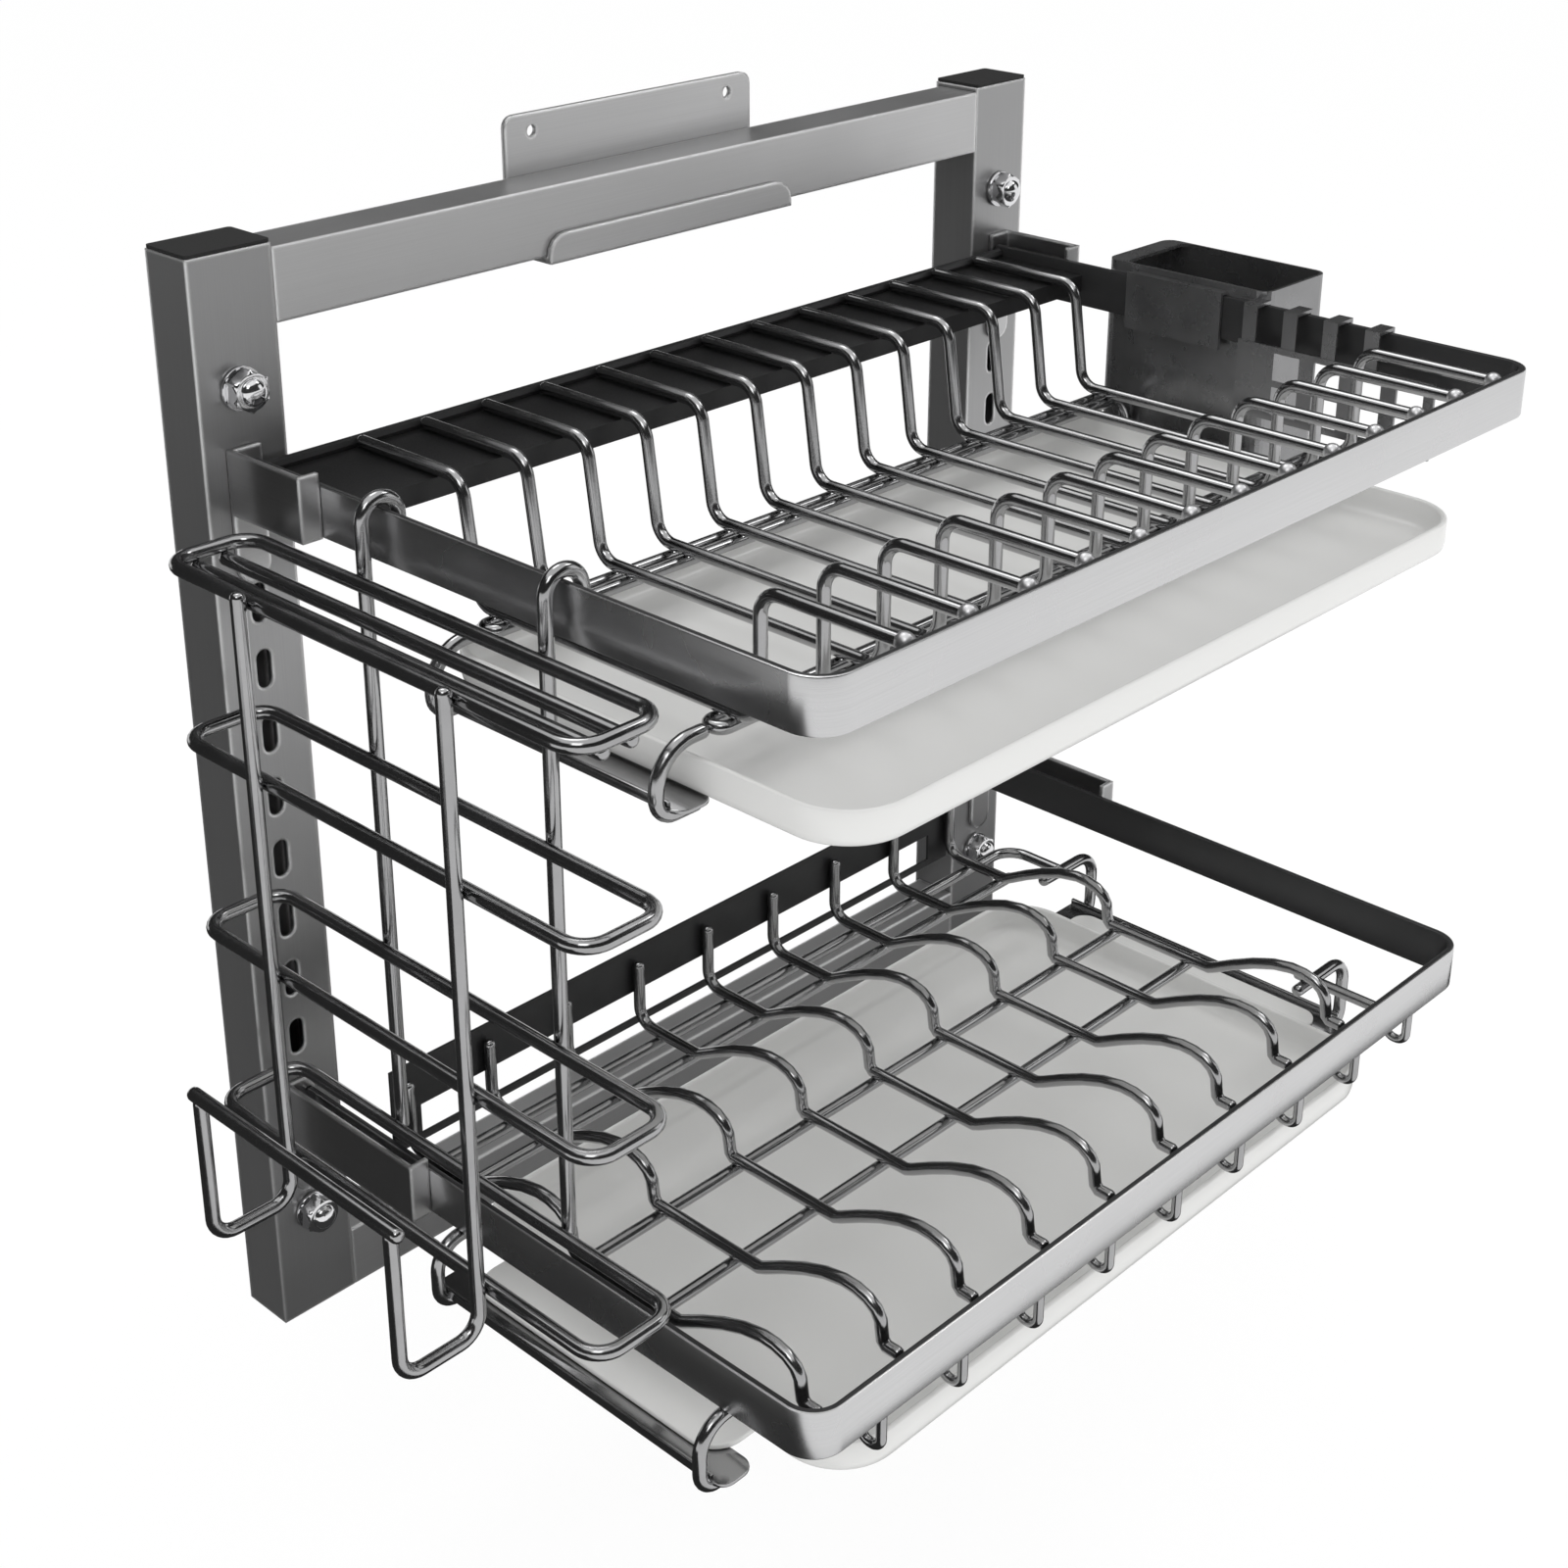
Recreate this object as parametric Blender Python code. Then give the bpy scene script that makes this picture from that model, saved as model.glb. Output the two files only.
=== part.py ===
"""Two-tier wall-hung dish rack for use over a sink, modelled in metres.

X runs along the wall to the right, Y runs into the wall, Z is up.
The origin is the centre of the wall plate's back face, on the wall.
Heights below are measured from the foot of the frame, depths from the wall.
"""

import math

import bmesh
import bpy
from mathutils import Vector

# Shared values
SEAT = 0.0003                   # gap between two pieces that touch
OVERRUN = 0.002                 # how far a cutter runs past the face that it cuts
WELD_SINK = 0.0008              # how deep two wires of one welded piece sink into each other
WIRE_SIDES = 8
BEND_STEPS = 2                  # straight runs that a wire's bend is made of
CORNER_STEPS = 4                # straight runs in the corner of a sheet or bar

# Wall frame
FRAME_WIDTH = 0.470
FRAME_HEIGHT = 0.460
POST_WIDTH = 0.036
POST_DEPTH = 0.025
TUBE_WALL = 0.0015
CAP_THICKNESS = 0.0012
CAP_PLUG = 0.008
CROSSBAR_HEIGHT = 0.028
UPPER_CROSSBAR_DROP = 0.0315    # from the posts' tops to the bar's foot

# Slots in the fronts of the posts
SLOT_COUNT = 12
SLOT_WIDTH = 0.007
SLOT_HEIGHT = 0.016
LOWEST_SLOT = 0.0791
HIGHEST_SLOT_DROP = 0.0817      # below the posts' tops

# Wall plate, a strip that is bent to a J under the upper crossbar
PLATE_WIDTH = 0.139
PLATE_THICKNESS = 0.0025
PLATE_RISE = 0.021              # above the posts' tops
PLATE_LIP = 0.0118
PLATE_CORNER = 0.005
LIP_CORNER = 0.009
SCREW_HOLE = 0.005
SCREW_HOLE_SPREAD = 0.111
SCREW_HOLE_DROP = 0.0074

# Anchor bolts through the posts
LOWER_BOLT_HEIGHT = 0.049
UPPER_BOLT_DROP = 0.052         # below the posts' tops
BOLT_DIAMETER = 0.008
BOLT_CLEARANCE = 0.0005
WASHER_DIAMETER = 0.017
WASHER_THICKNESS = 0.0014
NUT_FLATS = 0.013
NUT_HEIGHT = 0.0065
BOLT_END = 0.0035

# Trays: a flat bar bent to a U, hung from the posts by two brackets
TRAY_INSET = 0.0185             # from the frame's outer side to the arm's
TRAY_DEPTH = 0.311
BAR_HEIGHT = 0.020
BAR_THICKNESS = 0.003
BAR_CORNER = 0.014
TRAY_SLOT_RISE = 0.017          # from the bar's lower edge to the slot that the upper tongue uses
UPPER_TRAY_SLOT = 11            # slots are counted from 0 at the foot
LOWER_TRAY_SLOT = 1

# Brackets
BRACKET_INSET = 0.0095          # from the frame's outer side to the bracket's
BRACKET_SHEET = 0.002
BRACKET_HEIGHT = 0.025
BRACKET_FLANGE = 0.014
BRACKET_TAIL = 0.028
UPPER_BRACKET_REACH = 0.069
LOWER_BRACKET_REACH = 0.107
TONGUE_WIDTH = 0.003
TONGUE_HEIGHT = 0.008
TONGUE_DROP = 0.005
TONGUE_THICKNESS = 0.003

# Upper tray wires
WIRE = 0.005                    # diameter of the wires inside the trays
DIVIDER_COUNT = 13
FIRST_DIVIDER_INSET = 0.0415    # from the left arm's inner side
LAST_DIVIDER_INSET = 0.0225     # from the right arm's inner side
DIVIDER_TOP_DROP = 0.0025       # from the bar's upper edge down to the divider's top centre line
DIVIDER_BEND = 0.009
DIVIDER_REAR_BEND = 0.093
DIVIDER_FOOT_BEND = 0.100
DIVIDER_FLOOR_DROP = 0.030      # from the bar's lower edge down to the floor wires
DIVIDER_FRONT_BEND = 0.243

# Upper tray rear plate
REAR_PLATE_SHEET = 0.0015
REAR_PLATE_LIP = 0.008
REAR_PLATE_REAR = 0.0278
REAR_PLATE_FRONT = 0.080

# Hairpin loops under the floor wires
PAIR_GAP = 0.008
PAIR_OVERHANG = 0.003
PAIR_REAR = 0.106
PAIR_MIDDLE = 0.222

# Runners that carry the drip trays
RUNNER_WIRE = 0.0055
RUNNER_SHEET = 0.0015
RUNNER_WIDTH = 0.017
RUNNER_LIP = 0.004
RUNNER_END = 0.008
HOOK_INSET = 0.0055             # how much nearer than the arms the two sides' hooks are
UPPER_HOOK_CENTRE = 0.0045
UPPER_HOOK_DROP = 0.058         # from the bar's lower edge to the hooks' lower legs
LOWER_HOOK_OVERHANG = 0.013     # past the left arm's outer side
LOWER_HOOK_DROP = 0.0278
LEFT_HOOK_ROOT = 0.017           # from the hooks' middle line to their inner end
RIGHT_HOOK_ROOT = 0.0415
REAR_LOWER_HOOK = 0.122
FRONT_LOWER_HOOK_INSET = 0.045  # from the tray's front
HOOK_BEND = 0.008

# Drip trays
UPPER_DRIP_INSET = 0.0185       # from the hooks' outermost line to the tray
DRIP_REAR = 0.090
DRIP_FRONT = 0.2985
DRIP_HEIGHT = 0.014
DRIP_WALL = 0.0025
DRIP_CORNER = 0.026

# Lower tray wires
WAVE_COUNT = 9
FIRST_WAVE_INSET = 0.0067       # from the left arm's inner side
LAST_WAVE_INSET = 0.0899        # from the right arm's inner side
WAVE_FLOOR_RISE = 0.0148
WAVE_REAR = 0.0838
WAVE_REAR_HEIGHT = 0.0295
WAVE_BEND = 0.008
WAVE_FRONT_GAP = 0.003
ARCH_DEPTHS = (0.119, 0.2355)
ARCH_LENGTH = 0.060
ARCH_HEIGHT = 0.0175
ARCH_SHARES = (                 # each pair is the share of the arch's length and the share of its height
    (0.0, 0.0), (0.22, 0.40), (0.48, 0.82), (0.72, 1.0), (0.87, 0.93), (0.965, 0.70), (1.0, 0.34), (1.01, 0.0),
)
GRID_REAR_WIRES = (0.095, 0.102)
GRID_MIDDLE_WIRES = (0.182, 0.222)
GRID_INSET = 0.0365             # from the right hooks' outermost line to the grid's
GRID_BEND = 0.012
GRID_OVERHANG = 0.0115           # of the crossing wires past the last wave wire

# Lower tray rear sheet
SHEET = 0.0012
SHEET_BAND_TOP = 0.050
SHEET_BAND_FOOT = 0.029
SHEET_WINDOW_FOOT = 0.0155
SHEET_REAR = 0.081
SHEET_OVERHANG = 0.0014         # past the last wave wire
SHEET_POST = 0.014

# Front hooks on the lower tray
FRONT_HOOK_COUNT = 9
FRONT_HOOK_INSET = 0.0359       # from each arm's inner side to the nearest hook
FRONT_HOOK_WIRE = 0.004
FRONT_HOOK_DROP = 0.0177
FRONT_HOOK_CURL = 0.005
FRONT_HOOK_TIP = 0.005

# Lower drip tray, which hangs between the runners on its flanges
LEFT_DRIP_GAP = 0.0187          # from the runner's inner edge to the tray's wall
RIGHT_DRIP_GAP = 0.001
FLANGE_GAP = 0.0065             # from a flange to the runner's lip
FLANGE_SETBACK = 0.036          # from the tray's front and rear

# Board rack on the left arm
RACK_WIRE = 0.0055
RACK_LOOPS = (0.358, 0.2895, 0.2116, 0.1336)
RACK_WIDTH = 0.0352
RACK_REAR = 0.0405
RACK_FRONT = 0.257
RACK_CORNER = 0.010
RACK_DIVIDERS = (0.0117, 0.0237)    # from the loops' inner side
HANGER_DEPTHS = (0.101, 0.1965)
HANGER_BEND = 0.008
HANGER_TIP = 0.008
HANGER_FOOT_OVERHANG = 0.004
CRADLE_DEPTHS = (0.093, 0.202)
CRADLE_FOOT = 0.118
CRADLE_LENGTH = 0.0342
CRADLE_TOP = 0.179
CRADLE_BEND = 0.009

# Utensil box on the right arm
BOX_WIDTH = 0.0495
BOX_LENGTH = 0.0887
BOX_HEIGHT = 0.086
BOX_WALL = 0.0015
BOX_CORNER = 0.006
BOX_REAR = 0.0913
BOX_LEDGE = 0.0087              # how much of the opening a ledge at the rear covers
BOX_RIM_RISE = 0.0047
FLAP_LENGTH = 0.052
FLAP_INSET = 0.0157
FLAP_DROP = 0.025
FLAP_SINK = 0.0008

# Perforated side screen inside the right arm
SCREEN_SHEET = 0.0015
SCREEN_REAR = 0.1735
SCREEN_LENGTH = 0.098
SCREEN_TOP_DROP = 0.015
SCREEN_HEIGHT = 0.034
SCREEN_STANDOFF = 0.0065
HOLE_SIZE = 0.013
HOLE_COLUMN_PITCH = 0.0204
HOLE_ROW_PITCH = 0.0155
HOLE_COLUMNS = 4
HOLE_ROWS = 2
HOLE_INSET = 0.019              # from the sheet's rear edge to the first hole
HOLE_DROP = 0.0028              # from the sheet's upper edge to the first hole
STRAP_WIDTH = 0.007
STRAP_LAP = 0.003
STRAP_DEPTHS = (0.1785, 0.199, 0.2192, 0.2397)
STRAP_DROP = 0.012

# Worked out from the values above
UPPER_CROSSBAR_FOOT = FRAME_HEIGHT - UPPER_CROSSBAR_DROP
SLOT_PITCH = (FRAME_HEIGHT - HIGHEST_SLOT_DROP - LOWEST_SLOT) / (SLOT_COUNT - 1)
PLATE_TOP = FRAME_HEIGHT + PLATE_RISE
BOLT_HEIGHTS = (LOWER_BOLT_HEIGHT, FRAME_HEIGHT - UPPER_BOLT_DROP)
CROSSBAR_DEPTH = POST_DEPTH - PLATE_THICKNESS - SEAT
POST_CENTRE = FRAME_WIDTH / 2 - POST_WIDTH / 2
POST_INNER = FRAME_WIDTH / 2 - POST_WIDTH
PLATE_FOOT = UPPER_CROSSBAR_FOOT - SEAT - PLATE_THICKNESS
ORIGIN_HEIGHT = (PLATE_TOP + PLATE_FOOT) / 2
ARM_OUTER = FRAME_WIDTH / 2 - TRAY_INSET
ARM_INNER = ARM_OUTER - BAR_THICKNESS
BAR_INNER = TRAY_DEPTH - BAR_THICKNESS
BRACKET_OUTER = FRAME_WIDTH / 2 - BRACKET_INSET
UPPER_TRAY = LOWEST_SLOT + UPPER_TRAY_SLOT * SLOT_PITCH - TRAY_SLOT_RISE
LOWER_TRAY = LOWEST_SLOT + LOWER_TRAY_SLOT * SLOT_PITCH - TRAY_SLOT_RISE
DIVIDER_TOP = BAR_HEIGHT - DIVIDER_TOP_DROP
DIVIDER_FLOOR = -DIVIDER_FLOOR_DROP
FIRST_DIVIDER = FIRST_DIVIDER_INSET - ARM_INNER
LAST_DIVIDER = ARM_INNER - LAST_DIVIDER_INSET
DIVIDER_PITCH = (LAST_DIVIDER - FIRST_DIVIDER) / (DIVIDER_COUNT - 1)
PAIR_LEVEL = DIVIDER_FLOOR - WIRE - SEAT
PAIR_LEFT = FIRST_DIVIDER - WIRE / 2 - PAIR_OVERHANG
PAIR_RIGHT = LAST_DIVIDER + WIRE / 2 + PAIR_OVERHANG
RUNNER_RADIUS = RUNNER_WIRE / 2
HOOK_LEG = RUNNER_RADIUS + RUNNER_WIDTH
HOOK_REACH = ARM_OUTER - HOOK_INSET
LOWER_HOOK_CENTRE = HOOK_REACH - ARM_OUTER - LOWER_HOOK_OVERHANG
LOWER_HOOK_DEPTHS = (REAR_LOWER_HOOK, TRAY_DEPTH - FRONT_LOWER_HOOK_INSET)
FIRST_WAVE = FIRST_WAVE_INSET - ARM_INNER
LAST_WAVE = ARM_INNER - LAST_WAVE_INSET
WAVE_PITCH = (LAST_WAVE - FIRST_WAVE) / (WAVE_COUNT - 1)
SHEET_RIGHT = LAST_WAVE + SHEET_OVERHANG
FRONT_HOOK_PITCH = 2 * (ARM_INNER - FRONT_HOOK_INSET) / (FRONT_HOOK_COUNT - 1)
GRID_RIGHT = LOWER_HOOK_CENTRE + HOOK_REACH - GRID_INSET
RACK_RADIUS = RACK_WIRE / 2
HANGER_X = ARM_OUTER - BAR_THICKNESS / 2 + HANGER_BEND
RACK_INNER = HANGER_X + RACK_WIRE + SEAT
RACK_OUTER = RACK_INNER + RACK_WIDTH
CRADLE_X = RACK_OUTER + RACK_WIRE + SEAT
CRADLE_REACH = CRADLE_X + CRADLE_LENGTH
GRID_LEVEL = WAVE_FLOOR_RISE - WIRE - SEAT

# Colours of the finishes
FINISHES = {
    "grey_coated_steel": ((0.30, 0.30, 0.31), 0.38, 0.85),
    "polished_steel": ((0.62, 0.62, 0.63), 0.22, 1.0),
    "dark_steel": ((0.035, 0.035, 0.034), 0.35, 0.6),
    "bright_wire": ((0.52, 0.52, 0.53), 0.20, 1.0),
    "zinc": ((0.75, 0.75, 0.76), 0.25, 1.0),
    "black_plastic": ((0.012, 0.012, 0.012), 0.45, 0.0),
    "white_plastic": ((0.74, 0.74, 0.73), 0.40, 0.0),
}


def clear_scene():
    for obj in list(bpy.data.objects):
        bpy.data.objects.remove(obj)


def finish(name):
    """The Principled material of a finish, made once."""
    found = bpy.data.materials.get(name)
    if found:
        return found
    colour, roughness, metallic = FINISHES[name]
    made = bpy.data.materials.new(name)
    made.use_nodes = True
    shader = made.node_tree.nodes["Principled BSDF"]
    shader.inputs["Base Color"].default_value = (*colour, 1.0)
    shader.inputs["Roughness"].default_value = roughness
    shader.inputs["Metallic"].default_value = metallic
    return made


def axis_empty(name, parent, location):
    """An empty that places and carries the pieces of one moving group."""
    empty = bpy.data.objects.new(name, None)
    bpy.context.scene.collection.objects.link(empty)
    empty.parent = parent
    empty.location = location
    return empty


def piece(name, mesh, look, parent, location=(0, 0, 0)):
    """A named object with its own finish."""
    obj = bpy.data.objects.new(name, mesh)
    bpy.context.scene.collection.objects.link(obj)
    if not mesh.materials:
        mesh.materials.append(finish(look))
    obj.parent = parent
    obj.location = location
    return obj


def operand(obj, mesh, operation):
    """Join a mesh to a piece or cut it out of the piece with an exact Boolean."""
    tool = bpy.data.objects.new("tool_" + obj.name, mesh)
    bpy.context.scene.collection.objects.link(tool)
    tool.parent = obj.parent
    tool.location = obj.location
    tool.hide_render = True
    tool.display_type = "WIRE"
    step = obj.modifiers.new(operation.title(), "BOOLEAN")
    step.operation = operation
    step.solver = "EXACT"
    step.object = tool


def join(obj, mesh):
    operand(obj, mesh, "UNION")


def cut(obj, mesh):
    operand(obj, mesh, "DIFFERENCE")


def mesh_of(name, shape, smooth=False):
    """Turn a bmesh into a mesh with its faces pointing out."""
    bmesh.ops.recalc_face_normals(shape, faces=shape.faces)
    mesh = bpy.data.meshes.new(name)
    shape.to_mesh(mesh)
    shape.free()
    if smooth:
        mesh.shade_smooth()
        mesh.set_sharp_from_angle(angle=math.radians(50))
    return mesh


def turned(points, axis):
    """Place outline points (u, v) at w on the plane across an axis."""
    order = {"X": lambda u, v, w: (w, u, v), "Y": lambda u, v, w: (u, w, v), "Z": lambda u, v, w: (u, v, w)}
    return [order[axis](u, v, w) for u, v, w in points]


def add_prism(shape, outline, low, high, axis="Z"):
    """Extrude a closed outline from low to high along an axis."""
    bottom = [shape.verts.new(p) for p in turned([(u, v, low) for u, v in outline], axis)]
    top = [shape.verts.new(p) for p in turned([(u, v, high) for u, v in outline], axis)]
    shape.faces.new(bottom)
    shape.faces.new(top)
    for i in range(len(outline)):
        j = (i + 1) % len(outline)
        shape.faces.new((bottom[i], bottom[j], top[j], top[i]))


def prism(outline, low, high, axis="Z"):
    shape = bmesh.new()
    add_prism(shape, outline, low, high, axis)
    return mesh_of("prism", shape)


def prisms(outlines, low, high, axis="Z"):
    """Several separate prisms in one mesh, for one cut or one join."""
    shape = bmesh.new()
    for outline in outlines:
        add_prism(shape, outline, low, high, axis)
    return mesh_of("prisms", shape)


def rectangle(u_low, u_high, v_low, v_high):
    return [(u_low, v_low), (u_high, v_low), (u_high, v_high), (u_low, v_high)]


def box(x_low, x_high, y_low, y_high, z_low, z_high):
    return prism(rectangle(x_low, x_high, y_low, y_high), z_low, z_high)


def fillet(before, corner, after, radius, steps):
    """Points of the arc that rounds a corner."""
    back = (Vector(before) - Vector(corner)).normalized()
    onward = (Vector(after) - Vector(corner)).normalized()
    turn = math.pi - back.angle(onward)
    if turn < math.radians(1) or radius <= 0:
        return [tuple(corner)]
    inward = (back + onward).normalized()
    along = (onward - back).normalized()
    centre = Vector(corner) + inward * (radius / math.cos(turn / 2))
    arc = []
    for i in range(steps + 1):
        angle = turn * (i / steps - 1 / 2)
        arc.append(tuple(centre + (along * math.sin(angle) - inward * math.cos(angle)) * radius))
    return arc


def rounded(outline, radii, steps=CORNER_STEPS):
    """Round the corners of a closed outline, with one radius for each corner."""
    points = []
    count = len(outline)
    for i in range(count):
        points += fillet(outline[i - 1], outline[i], outline[(i + 1) % count], radii[i], steps)
    return points


def bent(points, radius, steps=BEND_STEPS):
    """A wire's route with a round bend at each inner point."""
    route = [points[0]]
    for i in range(1, len(points) - 1):
        route += fillet(points[i - 1], points[i], points[i + 1], radius, steps)
    route.append(points[-1])
    return [p for i, p in enumerate(route) if i == 0 or math.dist(p, route[i - 1]) > SEAT]


def circle(u, v, radius, sides, start=0.0):
    return [
        (u + radius * math.cos(start + math.tau * i / sides), v + radius * math.sin(start + math.tau * i / sides))
        for i in range(sides)
    ]


def obround(u, v, width, height, steps=CORNER_STEPS):
    """An upright slot with round ends, centred on (u, v)."""
    half = width / 2
    rise = height / 2 - half
    points = []
    for i in range(2 * steps + 1):
        angle = math.pi * i / (2 * steps)
        points.append((u + half * math.cos(angle), v + rise + half * math.sin(angle)))
    for i in range(2 * steps + 1):
        angle = math.pi + math.pi * i / (2 * steps)
        points.append((u + half * math.cos(angle), v - rise + half * math.sin(angle)))
    return points


def add_wire(shape, route, diameter, normal, closed=False):
    """Sweep a round wire along a flat route; normal is square to the route's plane."""
    centres = [Vector(p) for p in route]
    normal = Vector(normal).normalized()
    count = len(centres)
    rings = []
    for i, centre in enumerate(centres):
        ahead = centres[(i + 1) % count] - centre if closed or i < count - 1 else None
        behind = centre - centres[i - 1] if closed or i > 0 else None
        ahead = (ahead or behind).normalized()
        behind = (behind or ahead).normalized()
        tangent = (ahead + behind).normalized()
        side = tangent.cross(normal).normalized()
        stretch = 1 / max(tangent.dot(ahead), 0.5)
        ring = []
        for k in range(WIRE_SIDES):
            angle = math.tau * k / WIRE_SIDES
            across = side * (math.cos(angle) * stretch) + normal * math.sin(angle)
            ring.append(shape.verts.new(centre + across * (diameter / 2)))
        rings.append(ring)
    for i in range(count if closed else count - 1):
        here, there = rings[i], rings[(i + 1) % count]
        for k in range(WIRE_SIDES):
            m = (k + 1) % WIRE_SIDES
            shape.faces.new((here[k], here[m], there[m], there[k]))
    if not closed:
        shape.faces.new(rings[0])
        shape.faces.new(rings[-1])


def wire(route, diameter, normal, closed=False):
    shape = bmesh.new()
    add_wire(shape, route, diameter, normal, closed)
    return mesh_of("wire", shape, smooth=True)


def wires(routes, diameter, normal):
    """Several separate wires in one mesh, for one join."""
    shape = bmesh.new()
    for route in routes:
        add_wire(shape, route, diameter, normal)
    return mesh_of("wires", shape, smooth=True)


def loop_route(x_low, x_high, y_low, y_high, z, radius):
    """A flat closed loop of wire with round corners; two corners that meet share their point."""
    corners = rectangle(x_low, x_high, y_low, y_high)
    flat = rounded(corners, [radius] * len(corners), BEND_STEPS)
    return [(x, y, z) for i, (x, y) in enumerate(flat) if math.dist((x, y), flat[i - 1]) > SEAT]


# The wall frame

def build_post(side, parent):
    """An upright rectangular tube with slots in front and two holes for the anchor bolts."""
    name = "left_post" if side < 0 else "right_post"
    half = POST_WIDTH / 2
    centre = side * POST_CENTRE
    tube = rectangle(centre - half, centre + half, -POST_DEPTH, 0)
    post = piece(name, prism(tube, 0, FRAME_HEIGHT - CAP_THICKNESS - SEAT), "grey_coated_steel", parent)
    bore = rectangle(centre - half + TUBE_WALL, centre + half - TUBE_WALL, -POST_DEPTH + TUBE_WALL, -TUBE_WALL)
    cut(post, prism(bore, -OVERRUN, FRAME_HEIGHT + OVERRUN))
    slots = [
        obround(centre, LOWEST_SLOT + i * SLOT_PITCH, SLOT_WIDTH, SLOT_HEIGHT) for i in range(SLOT_COUNT)
    ]
    cut(post, prisms(slots, -POST_DEPTH - OVERRUN, -POST_DEPTH / 2, "Y"))
    radius = BOLT_DIAMETER / 2 + BOLT_CLEARANCE
    holes = [circle(centre, height, radius, 2 * WIRE_SIDES) for height in BOLT_HEIGHTS]
    cut(post, prisms(holes, -POST_DEPTH - OVERRUN, OVERRUN, "Y"))


def build_post_cap(side, parent):
    """A plastic cap on the top of a post, with a plug that fits inside the tube."""
    name = "left_post_cap" if side < 0 else "right_post_cap"
    half = POST_WIDTH / 2
    centre = side * POST_CENTRE
    outline = rectangle(centre - half, centre + half, -POST_DEPTH, 0)
    top = prism(rounded(outline, [TUBE_WALL] * 4), FRAME_HEIGHT - CAP_THICKNESS, FRAME_HEIGHT)
    cap = piece(name, top, "black_plastic", parent)
    inset = TUBE_WALL + SEAT
    plug = rectangle(centre - half + inset, centre + half - inset, -POST_DEPTH + inset, -inset)
    join(cap, prism(plug, FRAME_HEIGHT - CAP_THICKNESS - CAP_PLUG, FRAME_HEIGHT - CAP_THICKNESS / 2))


def build_crossbar(name, foot, parent):
    """A rectangular tube between the posts, level with their fronts."""
    end = POST_INNER - SEAT
    outline = rectangle(-POST_DEPTH, -POST_DEPTH + CROSSBAR_DEPTH, foot, foot + CROSSBAR_HEIGHT)
    bar = piece(name, prism(outline, -end, end, "X"), "grey_coated_steel", parent)
    bore = rectangle(
        -POST_DEPTH + TUBE_WALL,
        -POST_DEPTH + CROSSBAR_DEPTH - TUBE_WALL,
        foot + TUBE_WALL,
        foot + CROSSBAR_HEIGHT - TUBE_WALL,
    )
    cut(bar, prism(bore, -end - OVERRUN, end + OVERRUN, "X"))


def build_wall_plate(parent):
    """A strip against the wall that wraps under the upper crossbar, with two screw holes."""
    front = -POST_DEPTH - SEAT
    outline = [
        (0, PLATE_TOP),
        (0, PLATE_FOOT),
        (front - PLATE_THICKNESS, PLATE_FOOT),
        (front - PLATE_THICKNESS, PLATE_FOOT + PLATE_LIP),
        (front, PLATE_FOOT + PLATE_LIP),
        (front, PLATE_FOOT + PLATE_THICKNESS),
        (-PLATE_THICKNESS, PLATE_FOOT + PLATE_THICKNESS),
        (-PLATE_THICKNESS, PLATE_TOP),
    ]
    half = PLATE_WIDTH / 2
    plate = piece("wall_plate", prism(outline, -half, half, "X"), "grey_coated_steel", parent)
    height = PLATE_TOP - SCREW_HOLE_DROP
    spread = SCREW_HOLE_SPREAD / 2
    holes = [circle(side * spread, height, SCREW_HOLE / 2, 3 * WIRE_SIDES) for side in (-1, 1)]
    cut(plate, prisms(holes, -PLATE_THICKNESS - OVERRUN, OVERRUN, "Y"))
    trims = corner_trims(half, PLATE_TOP, PLATE_CORNER)
    cut(plate, prisms(trims, -PLATE_THICKNESS - OVERRUN, OVERRUN, "Y"))
    trims = corner_trims(half, PLATE_FOOT + PLATE_LIP, LIP_CORNER)
    cut(plate, prisms(trims, front - PLATE_THICKNESS - OVERRUN, front + OVERRUN, "Y"))


def corner_trims(half, top, radius):
    """Outlines of what is cut away to round the two upper corners of a strip."""
    trims = []
    for side in (-1, 1):
        trim = [(side * (half + OVERRUN), top - radius), (side * (half + OVERRUN), top + OVERRUN)]
        trim.append((side * (half - radius), top + OVERRUN))
        for i in range(CORNER_STEPS + 1):
            angle = math.pi / 2 * (1 - i / CORNER_STEPS)
            trim.append((side * (half - radius + radius * math.cos(angle)), top - radius + radius * math.sin(angle)))
        trims.append(trim)
    return trims


def build_anchor_bolt(name, x, height, parent):
    """A wall stud with its washer and nut, tightened on the front of a post."""
    shank = circle(x, height, BOLT_DIAMETER / 2, WIRE_SIDES)
    front = -POST_DEPTH - SEAT
    nut_back = front - WASHER_THICKNESS
    nut_front = nut_back - NUT_HEIGHT
    bolt = piece(name, prism(shank, nut_front - BOLT_END, 0, "Y"), "zinc", parent)
    washer = circle(x, height, WASHER_DIAMETER / 2, 2 * WIRE_SIDES)
    join(bolt, prism(washer, nut_back, front, "Y"))
    nut = circle(x, height, NUT_FLATS / math.sqrt(3), 6)
    join(bolt, prism(nut, nut_front, nut_back + WASHER_THICKNESS / 2, "Y"))


def build_frame(foot):
    for side in (-1, 1):
        build_post(side, foot)
        build_post_cap(side, foot)
        word = "left" if side < 0 else "right"
        for level, height in zip(("lower", "upper"), BOLT_HEIGHTS):
            build_anchor_bolt("anchor_bolt_%s_%s" % (level, word), side * POST_CENTRE, height, foot)
    build_crossbar("upper_crossbar", UPPER_CROSSBAR_FOOT, foot)
    build_crossbar("lower_crossbar", 0, foot)
    build_wall_plate(foot)


# Pieces that both trays have

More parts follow.
